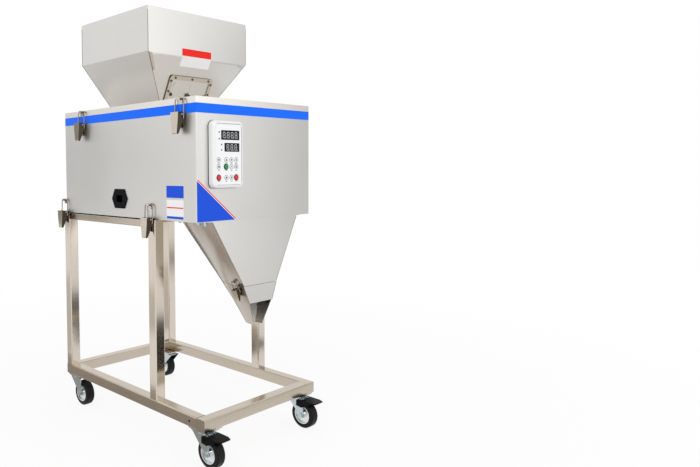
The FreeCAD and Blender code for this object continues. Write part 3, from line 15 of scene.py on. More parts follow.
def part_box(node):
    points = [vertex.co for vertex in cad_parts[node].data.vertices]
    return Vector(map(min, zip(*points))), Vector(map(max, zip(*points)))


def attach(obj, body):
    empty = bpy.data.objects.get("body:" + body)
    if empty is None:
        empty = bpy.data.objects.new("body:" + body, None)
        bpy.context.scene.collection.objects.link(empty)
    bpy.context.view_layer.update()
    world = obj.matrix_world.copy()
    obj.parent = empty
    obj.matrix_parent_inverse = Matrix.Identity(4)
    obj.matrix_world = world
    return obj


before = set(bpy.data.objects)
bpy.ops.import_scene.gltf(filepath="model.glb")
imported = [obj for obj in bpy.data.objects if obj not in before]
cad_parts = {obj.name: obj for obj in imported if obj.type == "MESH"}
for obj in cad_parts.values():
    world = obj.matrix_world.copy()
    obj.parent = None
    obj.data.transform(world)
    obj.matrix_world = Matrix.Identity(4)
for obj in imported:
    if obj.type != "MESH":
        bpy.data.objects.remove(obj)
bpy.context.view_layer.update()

LOG = logging.getLogger("machine")
MM = 0.001
LIFT = 0.02
PRINT_LIFT = 0.01
SMOOTH_LIMIT = math.radians(28)
Point = tuple[float, float]
Place = tuple[float, float, float]
FaceRule = Callable[[Vector, Vector], bool]


class Grain(Enum):
    """Which way a surface's fine marks run, on object axes."""

    EVEN = (1.0, 1.0, 1.0)
    ALONG_X = (0.02, 1.0, 1.0)
    ALONG_Y = (1.0, 0.02, 1.0)
    ALONG_Z = (1.0, 1.0, 0.02)


class Side(Enum):
    """A wall of the machine: its origin in millimetres, the way across it and the way up it."""

    FRONT = ((0.0, -301.0, 0.0), (1.0, 0.0, 0.0), (0.0, 0.0, 1.0))
    LEFT = ((-212.0, 0.0, 0.0), (0.0, -1.0, 0.0), (0.0, 0.0, 1.0))
    BAND = ((0.0, -83.0, 0.0), (1.0, 0.0, 0.0), (0.0, 0.0, 1.0))
    SLOPE = ((0.0, -83.0, 1042.0), (1.0, 0.0, 0.0), (0.0, -0.4463, 0.8949))
    KEYPAD = ((-120.5, -317.2, 765.0), (1.0, 0.0, 0.0), (0.0, 0.0, 1.0))


def sided(side: int, place: Place) -> Place:
    """A place on the machine's right (1), or its mirror image on the left (-1)."""
    return side * place[0], place[1], place[2]


def linear(colour: str) -> tuple[float, float, float, float]:
    """Turn an sRGB hex colour into linear light.

    Args:
        colour: Six hex digits after a hash.

    Returns:
        Red, green, blue and an alpha of one.
    """
    parts = [int(colour[n:n + 2], 16) / 255 for n in (1, 3, 5)]
    r, g, b = (p / 12.92 if p <= 0.04045 else ((p + 0.055) / 1.055) ** 2.4 for p in parts)
    return r, g, b, 1.0


def add(tree: NodeTree, kind: str, inputs: dict[Any, Any] | None = None,
        **settings: Any) -> Node:
    """Add one node with its settings, values and links.

    Args:
        tree: The tree that gets the node.
        kind: The node's type name.
        inputs: Socket name or number to a value, or to the socket that feeds it.
        **settings: Attributes of the node.

    Returns:
        The new node.
    """
    node = tree.nodes.new(kind)
    for name, value in settings.items():
        setattr(node, name, value)
    for name, value in (inputs or {}).items():
        if isinstance(value, NodeSocket):
            tree.links.new(value, node.inputs[name])
        else:
            node.inputs[name].default_value = value
    return node


def new_tree(name: str, inputs: dict[str, str]) -> tuple[NodeTree, dict[str, NodeSocket]]:
    """Start a geometry tree that takes a mesh and named inputs.

    Args:
        name: The tree's name.
        inputs: Each further input's name, with its socket's kind.

    Returns:
        The tree, and its inputs' sockets by name.
    """
    tree = bpy.data.node_groups.new(name, "GeometryNodeTree")
    for label, kind in {"Geometry": "Geometry", **inputs}.items():
        tree.interface.new_socket(label, in_out="INPUT", socket_type="NodeSocket" + kind)
    tree.interface.new_socket("Geometry", in_out="OUTPUT", socket_type="NodeSocketGeometry")
    return tree, {socket.name: socket for socket in add(tree, "NodeGroupInput").outputs}


def bare_material(name: str) -> Material:
    """A new material whose node tree is empty."""
    material = bpy.data.materials.new(name)
    material.use_nodes = True
    material.node_tree.nodes.clear()
    return material


@dataclass(frozen=True)
class Finish:
    """A material and how its surface was made.

    Attributes:
        name: The real material and its finish.
        colour: Its sRGB colour.
        metallic: One for bare metal, nought for the rest.
        roughness: How far it blurs what it mirrors.
        grain: Which way its fine marks run.
        grain_mm: Width of one mark, drawn coarser than the real 0.1 mm so that it shows.
        depth_mm: Height of the marks.
        uneven: Share by which the roughness varies.
        shade: Share of the colour left in its darkest spots.
        patch_mm: Size of its cloudy spots.
        coat: Share of clear gloss on top.
        shine: Strength of its reflection, for polymers.
    """

    name: str
    colour: str
    metallic: float = 0.0
    roughness: float = 0.42
    grain: Grain = Grain.EVEN
    grain_mm: float = 0.6
    depth_mm: float = 0.004
    uneven: float = 0.1
    shade: float = 0.97
    patch_mm: float = 60.0
    coat: float = 0.0
    shine: float = 0.5

    def like(self, name: str, colour: str, **changes: Any) -> "Finish":
        """A finish of its own that differs from this one in a few values."""
        return replace(self, name=name, colour=colour, **changes)

    def build(self) -> Material:
        """Make the material, once.

        Returns:
            The Blender material of this name.
        """
        known = bpy.data.materials.get(self.name)
        if known is not None:
            return known
        material = bare_material(self.name)
        tree = material.node_tree
        place = add(tree, "ShaderNodeTexCoord").outputs["Object"]
        fine_scale = Vector(self.grain.value) * (1.0 / (self.grain_mm * MM))
        fine_place = add(tree, "ShaderNodeMapping", {"Vector": place, "Scale": fine_scale}).outputs[0]
        fine = add(tree, "ShaderNodeTexNoise", {
            "Vector": fine_place, "Scale": 1.0, "Detail": 3.0}).outputs["Fac"]
        patch_scale = 1.0 / (self.patch_mm * MM)
        patch = add(tree, "ShaderNodeTexNoise", {
            "Vector": place, "Scale": patch_scale, "Detail": 4.0}).outputs["Fac"]
        least, most = 1 - self.uneven, 1 + self.uneven
        rough_fine = add(tree, "ShaderNodeMapRange", {
            "Value": fine, "To Min": self.roughness * least, "To Max": self.roughness * most}).outputs[0]
        rough_patch = add(tree, "ShaderNodeMapRange", {
            "Value": patch, "To Min": least, "To Max": most}).outputs[0]
        rough = add(tree, "ShaderNodeMath", {0: rough_fine, 1: rough_patch},
                    operation="MULTIPLY", use_clamp=True).outputs[0]
        light, dark = linear(self.colour), tuple(c * self.shade for c in linear(self.colour)[:3]) + (1.0,)
        blend = add(tree, "ShaderNodeMath", {0: fine, 1: patch},
                    operation="MULTIPLY", use_clamp=True).outputs[0]
        spread = add(tree, "ShaderNodeMapRange", {"Value": blend, "From Min": 0.1, "From Max": 0.4}).outputs[0]
        colour = add(tree, "ShaderNodeMix", {0: spread, 6: dark, 7: light}, data_type="RGBA").outputs[2]
        bump = add(tree, "ShaderNodeBump", {
            "Height": fine, "Strength": 1.0, "Distance": self.depth_mm * MM}).outputs[0]
        shader = add(tree, "ShaderNodeBsdfPrincipled", {
            "Base Color": colour, "Metallic": self.metallic, "Roughness": rough, "Normal": bump,
            "Coat Weight": self.coat, "Specular IOR Level": self.shine})
        add(tree, "ShaderNodeOutputMaterial", {"Surface": shader.outputs[0]})
        return material


# Cold-rolled stainless sheet with a fine satin grain: soft pale reflections.
SHEET_STEEL = Finish("stainless_sheet_satin", "#D9D8D5", metallic=1.0, roughness=0.36, grain=Grain.ALONG_Z,
                     uneven=0.12, shade=0.96, patch_mm=160.0)
LID_STEEL = SHEET_STEEL.like("stainless_lid_satin", "#EBE7E1", roughness=0.34, grain=Grain.ALONG_X)
HOPPER_STEEL = SHEET_STEEL.like("stainless_hopper_satin", "#D9D8D5", roughness=0.30, grain=Grain.ALONG_X)
# Drawn stainless tube, buffed along its length: warm, near mirror.
TUBE_Z = Finish("stainless_tube_upright", "#D8CEC1", metallic=1.0, roughness=0.14, grain=Grain.ALONG_Z,
                grain_mm=0.8, uneven=0.2, shade=0.93, patch_mm=70.0)
TUBE_Y = TUBE_Z.like("stainless_tube_lengthwise", "#C6BBAC", roughness=0.17, grain=Grain.ALONG_Y)
# Polished stainless pressings: small sharp highlights. The wire's colour is darkened: painted shade.
PRESSED_STEEL = Finish("stainless_pressing_polished", "#CFC6B8", metallic=1.0, roughness=0.12, grain_mm=0.8,
                       depth_mm=0.006, uneven=0.2, shade=0.9, patch_mm=20.0)
WIRE_PAINTED_DARK = PRESSED_STEEL.like(
    "stainless_wire_painted_dark", "#A49D92", roughness=0.16, grain_mm=0.5, depth_mm=0.004)
# Flanks and bolt heads in dark steel: painted shade for the dark reflections and outlines in their folds.
FLANK_PAINTED_SHADE = PRESSED_STEEL.like(
    "stainless_flank_painted_shade", "#5F574B", roughness=0.22, depth_mm=0.01, shade=0.85, patch_mm=12.0)
# Ground weld beads on the sheet's corners: a thin darker line.
WELD_STEEL = FLANK_PAINTED_SHADE.like(
    "stainless_weld_ground", "#8D8780", roughness=0.3, grain_mm=1.0, depth_mm=0.02, patch_mm=15.0)
# Polished inside of the nozzle: it mirrors the dark chute above it.
NOZZLE_INSIDE = Finish("stainless_nozzle_polished", "#E2DDD5", metallic=1.0, roughness=0.22,
                       grain=Grain.ALONG_Z, uneven=0.12, shade=0.95)
# Rear of the nozzle's trough: a painted highlight, a pale streak between dark sides.
NOZZLE_TROUGH_HIGHLIGHT = NOZZLE_INSIDE.like("stainless_nozzle_trough_painted_highlight", "#F6F3EE", metallic=0.15, roughness=0.3)
# The chute's rolled rear half: brighter streaks and a warmer tone than the flat front.
CHUTE_ROLLED = NOZZLE_INSIDE.like("stainless_chute_rolled", "#C3BAB0", roughness=0.24, patch_mm=120.0)
# Zinc plate: bluish and slightly mottled.
ZINC = Finish("zinc_plated_steel", "#C4CFD2", metallic=1.0, roughness=0.28, grain_mm=0.7, depth_mm=0.01,
              uneven=0.25, shade=0.86, patch_mm=12.0)
HUB = ZINC.like("zinc_hub_pressing", "#E3E6E7", roughness=0.26, depth_mm=0.008, uneven=0.2, shade=0.9)
# Tyres, seals, pedals and the panel's painted shadow ring: matt black with a faint sheen.
RUBBER = Finish("wheel_rubber_black", "#0E0E0F", roughness=0.5, grain_mm=0.5, depth_mm=0.03, uneven=0.15,
                shade=0.8, patch_mm=25.0, shine=0.18)
GASKET_AND_SHADOW_RING = RUBBER.like("gasket_and_shadow_ring_black", "#0C0C0C",
                     roughness=0.7, depth_mm=0.02, uneven=0.1, shade=0.85, patch_mm=40.0, shine=0.2)
NYLON = Finish("nylon_black_moulded", "#070708", roughness=0.45, grain_mm=0.4, depth_mm=0.02, uneven=0.15,
               shade=0.85, patch_mm=20.0, shine=0.1)
# Moulded white frame: soft gloss on its round edges.
ABS_WHITE = Finish(
    "abs_white_moulded", "#EFEFEE", roughness=0.34, grain_mm=0.5, depth_mm=0.008, shade=0.975, coat=0.15)
# Printed film over the keys: flat pearl white with fine grey and dark lines.
FILM = Finish("polyester_film_pearl", "#F6F7F8", grain_mm=0.3, depth_mm=0.01, patch_mm=40.0)
FILM_KEY = FILM.like("polyester_film_key_white", "#E9ECEE", roughness=0.4, shade=0.96, patch_mm=20.0)
FILM_EDGE = FILM.like(
    "polyester_film_edge_grey", "#8E9296", roughness=0.45, depth_mm=0.006, shade=0.95, patch_mm=20.0)
FILM_LINE = FILM_EDGE.like("polyester_film_line_dark", "#1F2327")
# Display windows: black gloss over pale bars.
WINDOW = Finish("acrylic_window_black", "#060607", roughness=0.3, grain_mm=0.8, depth_mm=0.002, uneven=0.2,
                shade=0.9, patch_mm=30.0, shine=0.2)
DIGIT = Finish("display_segment_grey", "#E2E4E6", roughness=0.4, grain_mm=0.4, depth_mm=0.002, patch_mm=20.0)
# Raised keys and dark lamp lenses: small beads of colour.
KEY_GREEN = Finish(
    "silicone_key_green", "#178A4A", roughness=0.4, grain_mm=0.4, depth_mm=0.01, shade=0.94, patch_mm=10.0)
KEY_RED = KEY_GREEN.like("silicone_key_red", "#D9251D")
LENS = Finish("polycarbonate_lens_dark", "#2B2D30", roughness=0.22, grain_mm=0.4, depth_mm=0.002, shade=0.92,
              patch_mm=10.0, coat=0.4)
# Mains inlet: deep black with hardly any sheen.
INLET = NYLON.like("thermoset_black_moulded", "#060607", uneven=0.12, shine=0.07)
# Self-adhesive vinyl: flat even colour without the steel's sheen.
VINYL_BLUE = Finish("vinyl_blue_printed", "#006CFF", shine=0.2)
VINYL_DEEP = VINYL_BLUE.like("vinyl_deep_blue_printed", "#1150DC")
VINYL_RED = VINYL_BLUE.like("vinyl_red_printed", "#F0231A")
VINYL_WHITE = VINYL_BLUE.like("vinyl_white_printed", "#F3F3F3", roughness=0.45, shade=0.98)
# Inside: painted iron, milled aluminium and a moulded case, dull greys in the dark.
IRON_PAINT = Finish("iron_grey_enamel", "#4E5459", roughness=0.45, grain_mm=1.5, depth_mm=0.05, uneven=0.15,
                    shade=0.85, patch_mm=30.0)
ALUMINIUM = Finish("aluminium_milled", "#C9CBCD", metallic=1.0, roughness=0.32, grain=Grain.ALONG_Y,
                   grain_mm=0.8, depth_mm=0.01, uneven=0.15, shade=0.93, patch_mm=20.0)
CASE = Finish("polycarbonate_grey_case", "#8B8E91", roughness=0.5, grain_mm=0.7, depth_mm=0.03, uneven=0.12,
              shade=0.93, patch_mm=40.0)


def rounded(width: float, height: float, radius: float, steps: int = 6) -> list[Point]:
    """Outline of a rectangle with round corners about the origin, anticlockwise.

    Args:
        width: Full width in millimetres.
        height: Full height in millimetres.
        radius: Corner radius in millimetres.
        steps: Pieces in each corner.

    Returns:
        The outline's points in millimetres.
    """
    points = []
    for n, (sx, sy) in enumerate(((1, 1), (-1, 1), (-1, -1), (1, -1))):
        cx, cy = sx * (width / 2 - radius), sy * (height / 2 - radius)
        for k in range(steps + 1):
            a = math.radians(90 * n + 90 * k / steps)
            points.append((cx + radius * math.cos(a), cy + radius * math.sin(a)))
    return points


def disc(radius: float, steps: int = 24) -> list[Point]:
    """Outline of a circle about the origin, in millimetres."""
    turns = [2 * math.pi * k / steps for k in range(steps)]
    return [(radius * math.cos(a), radius * math.sin(a)) for a in turns]


def shifted(points: Iterable[Point], x: float, y: float) -> list[Point]:
    """The same outline moved across and up, in millimetres."""
    return [(px + x, py + y) for px, py in points]


def rectangle(x0: float, x1: float, y0: float, y1: float) -> list[Point]:
    """Outline of a rectangle between two corners, in millimetres."""
    return [(x0, y0), (x1, y0), (x1, y1), (x0, y1)]


def walls(mesh: bmesh.types.BMesh, rings: Sequence[Sequence[bmesh.types.BMVert]]) -> None:
    """Join each ring of vertices to the next one with a band of faces."""
    for below, above in zip(rings, rings[1:]):
        for n in range(len(below)):
            k = (n + 1) % len(below)
            mesh.faces.new((below[n], below[k], above[k], above[n]))


@dataclass
class Piece:
    """Collects flat plates on the machine's walls into one finished object."""

    name: str
    finish: Finish
    body: str = "machine"
    mesh: bmesh.types.BMesh = field(default_factory=bmesh.new)

    def plate(self, side: Side, outline: Sequence[Point], low: float, high: float,
              soften: float = 0.0) -> "Piece":
        """Add a plate that stands off a wall.

        Args:
            side: The wall it lies on.
            outline: Its outline on the wall, in millimetres, anticlockwise seen from outside.
            low: Height of its back over the wall, in millimetres.
            high: Height of its face over the wall, in millimetres.
            soften: How far the face's rim is drawn in, in millimetres.

        Returns:
            This piece, for more plates.
        """
        origin, across, up = (Vector(v) for v in side.value)
        out = across.cross(up)
        middle = sum((Vector((x, y)) for x, y in outline), Vector((0.0, 0.0))) / len(outline)
        levels = [(low, 0.0), (high - soften, 0.0)] + ([(high, soften)] if soften else [])
        rings = []
        for height, inset in levels:
            ring = []
            for x, y in outline:
                arm = Vector((x, y)) - middle
                point = middle + arm * max(0.0, 1 - inset / max(arm.length, 1e-6))
                place = origin + across * point.x + up * point.y + out * height
                ring.append(self.mesh.verts.new(place * MM))
            rings.append(ring)
        self.mesh.faces.new(list(reversed(rings[0])))
        self.mesh.faces.new(rings[-1])
        walls(self.mesh, rings)
        return self

    def finished(self, smooth: bool = False) -> Object:
        """Make the object, ride it on its body and report it.

        Args:
            smooth: Whether its faces are shaded smooth.

        Returns:
            The finished object.
        """
        data = bpy.data.meshes.new(self.name)
        bmesh.ops.recalc_face_normals(self.mesh, faces=self.mesh.faces)
        self.mesh.to_mesh(data)
        self.mesh.free()
        if smooth:
            data.shade_smooth()
        return settle(bpy.data.objects.new(self.name, data), self.finish, self.body)


def settle(piece: Object, finish: Finish, body: str) -> Object:
    """Link a piece, give it its finish and ride it on its body.

    Args:
        piece: The new object, with its place in its mesh.
        finish: What it is made of.
        body: The CAD body that carries it.

    Returns:
        The same object.
    """
    if piece.name not in bpy.context.scene.collection.objects:
        bpy.context.scene.collection.objects.link(piece)
    piece.data.materials.clear()
    piece.data.materials.append(finish.build())
    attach(piece, body)
    LOG.info("piece %s on %s", piece.name, body)
    return piece


def soft_edges() -> NodeTree:
    """Geometry tree that joins loose triangles, parts tubes that only touch, and smooths all but real edges.

    Returns:
        The node group, made once.
    """
    known = bpy.data.node_groups.get("join_and_smooth")
    if known is not None:
        return known
    tree, given = new_tree("join_and_smooth", {"Edge Angle": "Float"})
    tree.interface.items_tree["Edge Angle"].default_value = SMOOTH_LIMIT
    joined = add(tree, "GeometryNodeMergeByDistance", {"Geometry": given["Geometry"], "Distance": 2e-6})
    faces = add(tree, "GeometryNodeInputMeshEdgeNeighbors").outputs["Face Count"]
    touching = add(tree, "FunctionNodeCompare", {2: faces, 3: 2}, data_type="INT", operation="GREATER_THAN")
    parted = add(tree, "GeometryNodeSplitEdges", {"Mesh": joined.outputs[0], "Selection": touching.outputs[0]})
    smooth = add(tree, "GeometryNodeSetShadeSmooth", {"Geometry": parted.outputs[0], "Shade Smooth": True},
                 domain="FACE")
    angle = add(tree, "GeometryNodeInputMeshEdgeAngle")
    sharp = add(tree, "FunctionNodeCompare", {0: angle.outputs[0], 1: given["Edge Angle"]},
                data_type="FLOAT", operation="GREATER_THAN")
    edged = add(tree, "GeometryNodeSetShadeSmooth", {
        "Geometry": smooth.outputs[0], "Selection": sharp.outputs[0], "Shade Smooth": False}, domain="EDGE")
    add(tree, "NodeGroupOutput", {0: edged.outputs[0]})
    return tree


def dress(node: str, finish: Finish, edge_mm: float = 0.0, *others: tuple[Finish, FaceRule]) -> None:
    """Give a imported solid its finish, its edge radius and smooth curved faces.

    Args:
        node: The CAD node's name.
        finish: What it is made of.
        edge_mm: Radius that its edges are broken to, in millimetres, or none.
        *others: Further finishes, each with a rule that says from a face's middle, in metres, and its normal
            whether it has that finish. The last rule that holds counts.
    """
    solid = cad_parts[node]
    solid.data.materials.clear()
    solid.data.materials.append(finish.build())
    for other, _ in others:
        solid.data.materials.append(other.build())
    for polygon in solid.data.polygons:
        polygon.material_index = 0
        for slot, (_, rule) in enumerate(others, 1):
            if rule(polygon.center, polygon.normal):
                polygon.material_index = slot
    joiner = solid.modifiers.new("joined", "NODES")
    joiner.node_group = soft_edges()
    if edge_mm:
        bevel = solid.modifiers.new("edges", "BEVEL")
        bevel.width = edge_mm * MM
        bevel.segments = 2
        bevel.limit_method = "ANGLE"
        bevel.angle_limit = math.radians(50)
    flattened = solid.modifiers.new("flat_faces", "WEIGHTED_NORMAL")
    flattened.keep_sharp = True
    flattened.weight = 100
    LOG.info("solid %s is %s", node, finish.name)


def grown(tree: NodeTree, values: dict[str, Any],
          source: Mesh | None = None) -> Mesh:
    """Run a geometry tree on an object of its own and keep the result.

    Args:
        tree: The tree, with named inputs.
        values: The inputs' values by name.
        source: The mesh it starts from, if it needs one.

    Returns:
        The plain mesh, in metres.
    """
    carrier = bpy.data.objects.new("tree_carrier", source or bpy.data.meshes.new("tree_carrier"))
    bpy.context.scene.collection.objects.link(carrier)
    maker = carrier.modifiers.new("grown", "NODES")
    maker.node_group = tree
    for item in tree.interface.items_tree:
        if item.in_out == "INPUT" and item.name in values:
            maker[item.identifier] = values[item.name]
    carrier.update_tag()
    mesh = bpy.data.meshes.new_from_object(carrier.evaluated_get(bpy.context.evaluated_depsgraph_get()))
    carrier.modifiers.remove(maker)
    bpy.data.objects.remove(carrier)
    return mesh


def seam_tree() -> NodeTree:
    """Geometry tree that lays a thin weld bead along every edge of a mesh.

    Returns:
        The node group, made once.
    """
    known = bpy.data.node_groups.get("weld_bead_on_edges")
    if known is not None:
        return known
    tree, given = new_tree("weld_bead_on_edges", {"Radius": "Float", "Finish": "Material"})
    line = add(tree, "GeometryNodeMeshToCurve", {"Mesh": given["Geometry"]})
    ring = add(tree, "GeometryNodeCurvePrimitiveCircle", {"Resolution": 8, "Radius": given["Radius"]})
    bead = add(tree, "GeometryNodeCurveToMesh", {
        "Curve": line.outputs[0], "Profile Curve": ring.outputs[0], "Fill Caps": True})
    real = add(tree, "GeometryNodeRealizeInstances", {0: bead.outputs[0]})
    shown = add(tree, "GeometryNodeSetMaterial", {"Geometry": real.outputs[0], "Material": given["Finish"]})
    add(tree, "NodeGroupOutput", {0: shown.outputs[0]})
    return tree


def seams_piece(name: str, lines: Sequence[Sequence[Place]], radius: float, finish: Finish,
                body: str = "machine") -> Object:
    """Lay weld beads along lines as one piece on a body.

    Args:
        name: The piece's name.
        lines: The seams, each a run of places in millimetres.
        radius: The bead's radius in millimetres.
        finish: What it is made of.
        body: The CAD body that carries it.

    Returns:
        The finished object.
    """
    points = [Vector(place) * MM for line in lines for place in line]
    edges = []
    first = 0
    for line in lines:
        edges += [(first + n, first + n + 1) for n in range(len(line) - 1)]
        first += len(line)
    path = bpy.data.meshes.new(name + "_path")
    path.from_pydata(points, edges, [])
    data = grown(seam_tree(), {"Radius": radius * MM, "Finish": finish.build()}, path)
    data.shade_smooth()
    return settle(bpy.data.objects.new(name, data), finish, body)


def row_tree() -> NodeTree:
    """Geometry tree that sets low domes along a line.

    Returns:
        The node group, made once.
    """
    known = bpy.data.node_groups.get("row_of_domes")
    if known is not None:
        return known
    tree, given = new_tree("row_of_domes", {
        "Count": "Int", "Start": "Vector", "End": "Vector", "Facing": "Vector", "Radius": "Float",
        "Flatness": "Float", "Seed": "Int", "Finish": "Material"})
    line = add(tree, "GeometryNodeMeshLine", {
        "Count": given["Count"], "Start Location": given["Start"], "Offset": given["End"]}, mode="END_POINTS")
    dome = add(tree, "GeometryNodeMeshUVSphere", {"Segments": 12, "Rings": 6, "Radius": given["Radius"]})
    flat = add(tree, "ShaderNodeCombineXYZ", {0: 1.0, 1: 1.0, 2: given["Flatness"]})
    facing = add(tree, "FunctionNodeAlignRotationToVector", {"Vector": given["Facing"]}, axis="Z")
    jitter = add(tree, "FunctionNodeRandomValue", {2: 0.8, 3: 1.15, "Seed": given["Seed"]}, data_type="FLOAT")
    size = add(tree, "ShaderNodeVectorMath", {0: flat.outputs[0], "Scale": jitter.outputs[1]},
               operation="SCALE")
    set_out = add(tree, "GeometryNodeInstanceOnPoints", {
        "Points": line.outputs[0], "Instance": dome.outputs[0], "Rotation": facing.outputs[0],
        "Scale": size.outputs[0]})
    real = add(tree, "GeometryNodeRealizeInstances", {0: set_out.outputs[0]})
    smooth = add(tree, "GeometryNodeSetShadeSmooth", {0: real.outputs[0]})
    shown = add(tree, "GeometryNodeSetMaterial", {"Geometry": smooth.outputs[0], "Material": given["Finish"]})
    add(tree, "NodeGroupOutput", {0: shown.outputs[0]})
    return tree


@dataclass(frozen=True)
class DomeRow:
    """A row of spot welds or rivets between two places."""

    count: int
    start: Place
    end: Place
    facing: Place
    radius: float
    flatness: float
    seed: int = 7

    def mesh(self, finish: Finish) -> Mesh:
        """Run the tree on its own object and keep the result.

        Args:
            finish: What the row is made of.

        Returns:
            The plain mesh, in metres.
        """
        return grown(row_tree(), {
            "Count": self.count, "Start": Vector(self.start) * MM, "End": Vector(self.end) * MM,
            "Facing": Vector(self.facing), "Radius": self.radius * MM, "Flatness": self.flatness,
            "Seed": self.seed, "Finish": finish.build()})


def rows_piece(name: str, rows: Sequence[DomeRow], finish: Finish, body: str = "machine") -> Object:
    """Join several rows into one piece on a body.

    Args:
        name: The piece's name.
        rows: The rows it holds.
        finish: What they are made of.
        body: The CAD body that carries them.

    Returns:
        The finished object.
    """
    joined = bmesh.new()
    for row in rows:
        joined.from_mesh(row.mesh(finish))
    data = bpy.data.meshes.new(name)
    joined.to_mesh(data)
    joined.free()
    data.shade_smooth()
    return settle(bpy.data.objects.new(name, data), finish, body)


@dataclass
class Studio:
    """Camera, floor and lamps."""

    place: Place = (-1.2109, -1.4242, 0.7300)
    yaw: float = 41.95
    pitch: float = -3.0
    roll: float = -0.478
    focal_px: float = 633.8
    centre_px: Point = (200.0, 202.2)
    picture_px: Point = (700.0, 467.0)
    floor_half: float = 9.0

    def camera(self) -> None:
        """Set the camera where the photograph was taken from."""
        yaw, pitch, roll = (math.radians(a) for a in (self.yaw, self.pitch, self.roll))
        ahead = Vector((math.sin(yaw) * math.cos(pitch), math.cos(yaw) * math.cos(pitch), math.sin(pitch)))
        right = Vector((math.cos(yaw), -math.sin(yaw), 0.0))
        up = right.cross(ahead)
        turned_right = right * math.cos(roll) + up * math.sin(roll)
        turned_up = up * math.cos(roll) - right * math.sin(roll)
        data = bpy.data.cameras.new("camera")
        data.sensor_fit = "HORIZONTAL"
        data.sensor_width = 36.0
        width, height = self.picture_px
        data.lens = self.focal_px / width * data.sensor_width
        data.shift_x = (width / 2 - self.centre_px[0]) / width
        data.shift_y = (self.centre_px[1] - height / 2) / width
        data.clip_end = 50.0
        camera = bpy.data.objects.new("camera", data)
        basis = Matrix((turned_right, turned_up, -ahead)).transposed().to_4x4()
        camera.matrix_world = Matrix.Translation(Vector(self.place)) @ basis
        bpy.context.scene.collection.objects.link(camera)
        bpy.context.scene.camera = camera

    def sheet(self, name: str, corners: Sequence[Any], material: Material) -> Object:
        """Put a flat rectangle that lights nothing into the scene.

        Args:
            name: Its name.
            corners: Its corners, in metres.
            material: What it is made of.

        Returns:
            The rectangle, not yet staged.
        """
        mesh = bpy.data.meshes.new(name)
        mesh.from_pydata(corners, [], [(0, 1, 2, 3)])
        mesh.materials.append(material)
        material.cycles.emission_sampling = "NONE"
        sheet = bpy.data.objects.new(name, mesh)
        bpy.context.scene.collection.objects.link(sheet)
        return sheet

    def floor(self) -> None:
        """A wide pale floor that stays white to the camera and keeps a faint shadow."""
        material = bare_material("studio_floor_white")
        tree = material.node_tree
        lit = add(tree, "ShaderNodeBsdfDiffuse", {"Color": linear("#F2F2F2")})
        glow = add(tree, "ShaderNodeEmission", {"Color": (1, 1, 1, 1), "Strength": 1.0})
        path = add(tree, "ShaderNodeLightPath")
        seen = add(tree, "ShaderNodeMath", {
            0: path.outputs["Is Camera Ray"], 1: path.outputs["Is Glossy Ray"]}, operation="MAXIMUM")
        spot = add(tree, "ShaderNodeTexCoord").outputs["Object"]
        away = add(tree, "ShaderNodeVectorMath", {0: spot}, operation="LENGTH").outputs["Value"]
        white = add(tree, "ShaderNodeMapRange", {
            "Value": away, "From Min": 0.7, "From Max": 2.2, "To Min": 0.88, "To Max": 1.0})
        share = add(tree, "ShaderNodeMath", {0: seen.outputs[0], 1: white.outputs[0]}, operation="MULTIPLY")
        mix = add(tree, "ShaderNodeMixShader", {0: share.outputs[0], 1: lit.outputs[0], 2: glow.outputs[0]})
        add(tree, "ShaderNodeOutputMaterial", {"Surface": mix.outputs[0]})
        far = self.floor_half
        floor = self.sheet("floor", [(-far, -far, 0), (far, -far, 0), (far, far, 0), (-far, far, 0)], material)

    def card(self, name: str, place: Vector, target: Vector, size: Point, colour: str,
             strength: float = 1.0) -> None:
        """Stand a card beside the object that only shows in its reflections.

        Args:
            name: The card's name.
            place: Its middle, in metres.
            target: What it faces.
            size: Its width and height, in metres.
            colour: Its colour.
            strength: How brightly it glows.
        """
        w, h = size[0] / 2, size[1] / 2
        turn = (target - place).to_track_quat("Z", "Y").to_matrix().to_4x4()
        at = Matrix.Translation(place) @ turn
        corners = ((-w, -h, 0), (w, -h, 0), (w, h, 0), (-w, h, 0))
        material = bare_material(name)
        tree = material.node_tree
        glow = add(tree, "ShaderNodeEmission", {"Color": linear(colour), "Strength": strength})
        add(tree, "ShaderNodeOutputMaterial", {"Surface": glow.outputs[0]})
        card = self.sheet(name, [at @ Vector(corner) for corner in corners], material)
        card.visible_camera = False
        card.visible_diffuse = False
        card.visible_shadow = False

    def low_card(self, name: str, centre: Point, size: Point, colour: str) -> None:
        """Lay a card on the floor that only shows in the object's reflections.

        Args:
            name: The card's name.
            centre: Its middle on the floor, in metres.
            size: Its reach along X and Y, in metres.
            colour: Its colour.
        """
        place = Vector((centre[0], centre[1], 0.004))
        self.card(name, place, place + Vector((0.0, 0.0, 1.0)), size, colour)

    def lamp(self, name: str, place: Vector, target: Vector, size: float, power: float) -> None:
        """Hang one square soft lamp.

        Args:
            name: The lamp's name.
            place: Where it hangs, in metres.
            target: What it faces.
            size: Its side, in metres.
            power: Its power in watts.
        """
        data = bpy.data.lights.new(name, "AREA")
        data.shape = "SQUARE"
        data.size = size
        data.energy = power
        lamp = bpy.data.objects.new(name, data)
        turn = (place - target).to_track_quat("Z", "Y").to_matrix().to_4x4()
        lamp.matrix_world = Matrix.Translation(place) @ turn
        bpy.context.scene.collection.objects.link(lamp)

